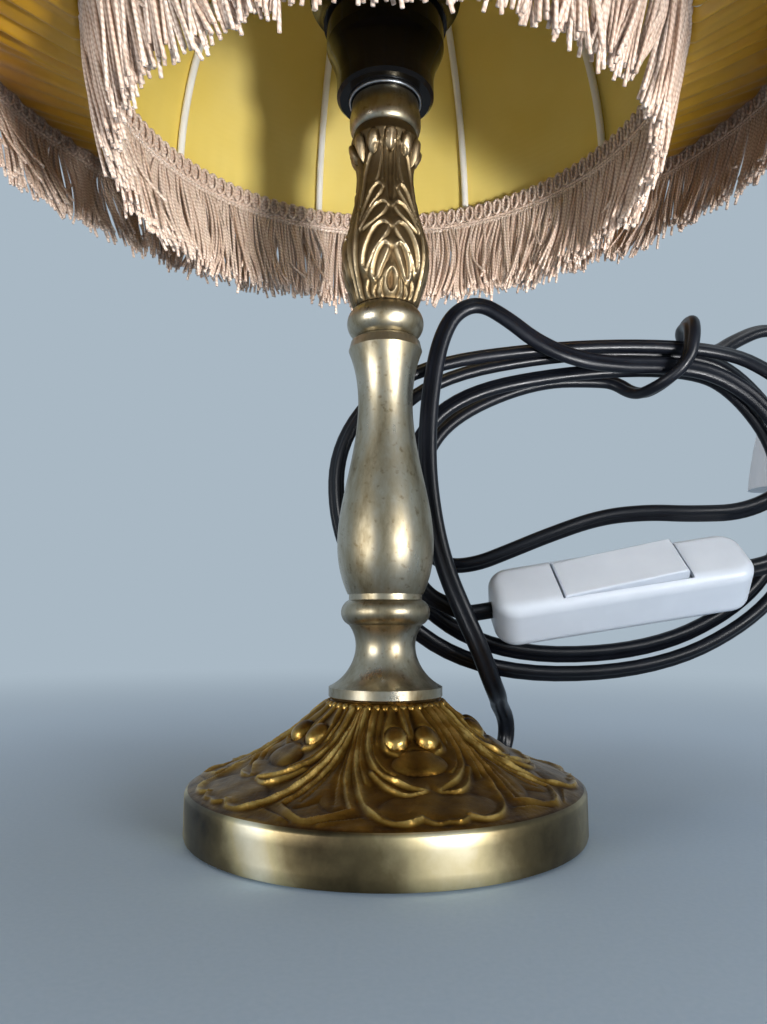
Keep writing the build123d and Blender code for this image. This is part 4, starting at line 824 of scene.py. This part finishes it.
# Bright rayon twisted into cord, one turn every 1.3 mm: silky lights on each ply from its gloss, and painted
# shade in the groove between plies, in beige rose that differs a little from strand to strand.
twist = add(tree, "Attribute", attribute_name="twist")
part = add(tree, "SeparateXYZ", {0: twist.outputs["Vector"]})
phase = add(tree, "Math", {0: part.outputs["Z"], 1: 2 * math.pi / 0.0013}, operation="MULTIPLY")
wave_s = add(tree, "Math", {0: phase.outputs[0]}, operation="SINE")
wave_c = add(tree, "Math", {0: phase.outputs[0]}, operation="COSINE")
first = add(tree, "Math", {0: wave_s.outputs[0], 1: part.outputs["X"]}, operation="MULTIPLY")
ply = add(tree, "Math", {0: wave_c.outputs[0], 1: part.outputs["Y"], 2: first.outputs[0]}, operation="MULTIPLY_ADD")
ply_share = add(tree, "MapRange", {0: ply.outputs[0], 1: -1.0, 2: 0.5, 3: 0.3, 4: 1.0})
lot = add(tree, "Attribute", attribute_name="tone")
dyed = add(tree, "Mix", {0: lot.outputs["Fac"], 6: linear("#D3B8A4"), 7: linear("#E6D3C2")}, data_type="RGBA")
# Painted shade: the groove between plies is darkened towards #AE8E77
ply_tone_and_painted_shade = add(tree, "Mix", {0: ply_share.outputs[0], 6: linear("#AE8E77"), 7: dyed.outputs[2]}, data_type="RGBA")
lift = add(tree, "Bump", {"Strength": 0.2, "Distance": 0.0002, "Height": ply_share.outputs[0]})
shader = add(tree, "BsdfPrincipled", {
    "Base Color": ply_tone_and_painted_shade.outputs[2], "Roughness": 0.34, "Sheen Weight": 0.3, "Sheen Roughness": 0.3,
    "Specular IOR Level": 0.5, "Normal": lift.outputs[0]})
add(tree, "OutputMaterial", {"Surface": shader.outputs[0]})


loop_pitch = 3.3
loop_half = 1.3
loop_cord_r = 0.48
backing_r = 0.62
# The backing cords: how far each lies out of the header's middle, and its share of the way down
backing = (
    (0.1, 0.06), (0.1, 0.2), (0.1, 0.36), (0.1, 0.52), (0.1, 0.68), (0.6, 0.84), (-0.6, 0.84), (0.6, 1), (-0.6, 1))


def gimp(head, down, height):
    """Cords of a looped header that starts at a radius and height and runs down the given way."""
    head, down = np.array(head), np.array(down)
    away = np.array([-down[1], down[0]])
    loops = round(2 * math.pi * head[0] / loop_pitch)
    start = (np.arange(loops) / loops * 2 * math.pi)[:, None]
    t = np.linspace(0, 2 * math.pi, 15)[None, :]
    cords = []
    for out in (0.95, -1.15):
        place = head + (0.4 * height * (1 - 0.9 * np.cos(t)))[..., None] * down
        place = place + (out + 0.25 * np.sin(t))[..., None] * away
        angle = start + loop_half / head[0] * np.sin(t) + 0.15 * out / head[0]
        r, z = place[..., 0] + 0 * angle, place[..., 1] + 0 * angle
        cords.append((round_place(angle, r, z), loop_cord_r))
    around = np.linspace(0, 2 * math.pi, 361)
    for out, share in backing:
        place = head + (share * height + 0.12 * np.sin(around * loops))[:, None] * down + out * away
        cords.append((round_place(around, place[:, 0], place[:, 1])[None], backing_r))
    return cords


def make_trim(name, cords, chance, replaced):
    """One piece of yarn from its cords, each strand with its own shade."""
    points, faces, marks, tones = [], [], [], []
    for paths, radius in cords:
        made, tube, mark = spin(paths / 1000, radius / 1000)
        first = sum(len(p) for p in points)
        points.append(made)
        faces += [tuple(first + i for i in face) for face in tube]
        marks.append(mark)
        tones.append(np.repeat(chance.random(len(paths)), len(made) // len(paths)))
    piece = make_piece(name, np.concatenate(points), faces, yarn, "shade", "fringe_yarn", replaced)
    mark_points(piece, "tone", np.concatenate(tones))
    kept = piece.data.attributes.new("twist", "FLOAT_VECTOR", "POINT")
    kept.data.foreach_set("vector", np.concatenate(marks).astype(np.float32).ravel())


strand_r = 0.43
strand_pitch = 1.05
header_h = 6.8


def hang(head_r, head_top, drop, lean, chance):
    """Three layers of strands under a header: locks that sway together, uneven ends and a few strays."""
    count = round(2 * math.pi * head_r / strand_pitch)
    t = np.linspace(0, 1, 12)[None, :]
    sway_at = [(k, chance.uniform(0.3, 1) * min(1, math.sqrt(19 / k)), chance.uniform(0, 6.3))
               for k in (7, 11, 19, 31, 47, 73)]
    cords = []
    for layer in (-1, 0, 1):
        start = ((np.arange(count) + chance.uniform(-0.3, 0.3, count) + layer / 3) / count * 2 * math.pi)[:, None]
        lock = sum(a * np.sin(k * start + p + 0.5 * layer) for k, a, p in sway_at)
        stray = (chance.random((count, 1)) < 0.06) * chance.normal(0, 1, (count, 1))
        bow = sum(a * np.sin(k * start + 1.7 * p + 2) for k, a, p in sway_at)
        swing = 2.5 * lock * t**1.5 + (1.8 * bow + chance.normal(0, 0.8, (count, 1))) * np.sin(math.pi * t)
        swing = swing + 5.0 * stray * t**2
        length = (drop - 0.9 * header_h) * (0.97 + chance.normal(0, 0.05, (count, 1)) + 0.035 * lock)
        fall = t * length * (1 - 0.12 * np.abs(stray) * t)
        r = head_r + 0.6 * layer + 0.6 * bow * np.sin(math.pi * t) - lean * t**1.2
        r = r + chance.normal(0, 0.9, (count, 1)) * t + 1.5 * stray * t**2
        cords.append((round_place(start + swing / head_r, r, head_top - 0.9 * header_h - fall), strand_r))
    return cords


rim_head = (71.3, 183.6)
belly_head = (114.8, 200.3)
chance = np.random.default_rng(11)
make_trim("rim_bullion_fringe", gimp(rim_head, (0, -1), header_h) + hang(*rim_head, 34.6, 7.3, chance),
          chance, "rim_fringe")
chance = np.random.default_rng(12)
# A row of overcast stitches closes the gap between the belly's header and the cover
seam_turn = np.linspace(0, 2 * math.pi, 361)[None, :]
seam = round_place(seam_turn, 113.4 + 0 * seam_turn, 199.8 + 0 * seam_turn)
make_trim("belly_bullion_fringe",
          gimp(belly_head, (0, -1), header_h) + [(seam, 0.7)] + hang(*belly_head, 31.8, 8.5, chance),
          chance, "belly_fringe")


# Top gimp: the same looped gimp of rayon, without strands. It is glued over the raw edge of the cover on
# the top ring.
top_edge = crown_mid + (crown_r + 3.7) * np.array([math.cos(crown_to), math.sin(crown_to)])
top_down = np.array([math.sin(crown_to), -math.cos(crown_to)])
make_trim("top_looped_gimp", gimp(top_edge, top_down, 6.0), np.random.default_rng(13), "top_braid")


# Switch and plug: white shells moulded in thermoplastic, on the flex. The switch's rocker lies in its cover,
# and the plug hangs at the end of the bundle with its two pins down.
white, tree, where = start_material("white_plastic_moulded")
# Moulded thermoplastic: cool white, softly glossy, with handling marks of 10 mm and a mould grain of 0.4 mm.
mottle = add(tree, "TexNoise", {"Vector": where, "Scale": 1000 / 10, "Detail": 5})
tone = add(tree, "Mix", {0: mottle.outputs["Fac"], 6: linear("#C3CCD8"), 7: linear("#D7DFEA")}, data_type="RGBA")
rough = add(tree, "MapRange", {0: mottle.outputs["Fac"], 1: 0.3, 2: 0.7, 3: 0.42, 4: 0.3})
spark = add(tree, "TexNoise", {"Vector": where, "Scale": 1000 / 0.4, "Detail": 1})
grain = add(tree, "Bump", {"Strength": 0.08, "Distance": 0.0001, "Height": spark.outputs["Fac"]})
shader = add(tree, "BsdfPrincipled", {
    "Base Color": tone.outputs[2], "Roughness": rough.outputs[0], "IOR": 1.5, "Normal": grain.outputs[0]})
add(tree, "OutputMaterial", {"Surface": shader.outputs[0]})
dress(white, "switch_base", "switch_cover", "rocker", "plug_body")
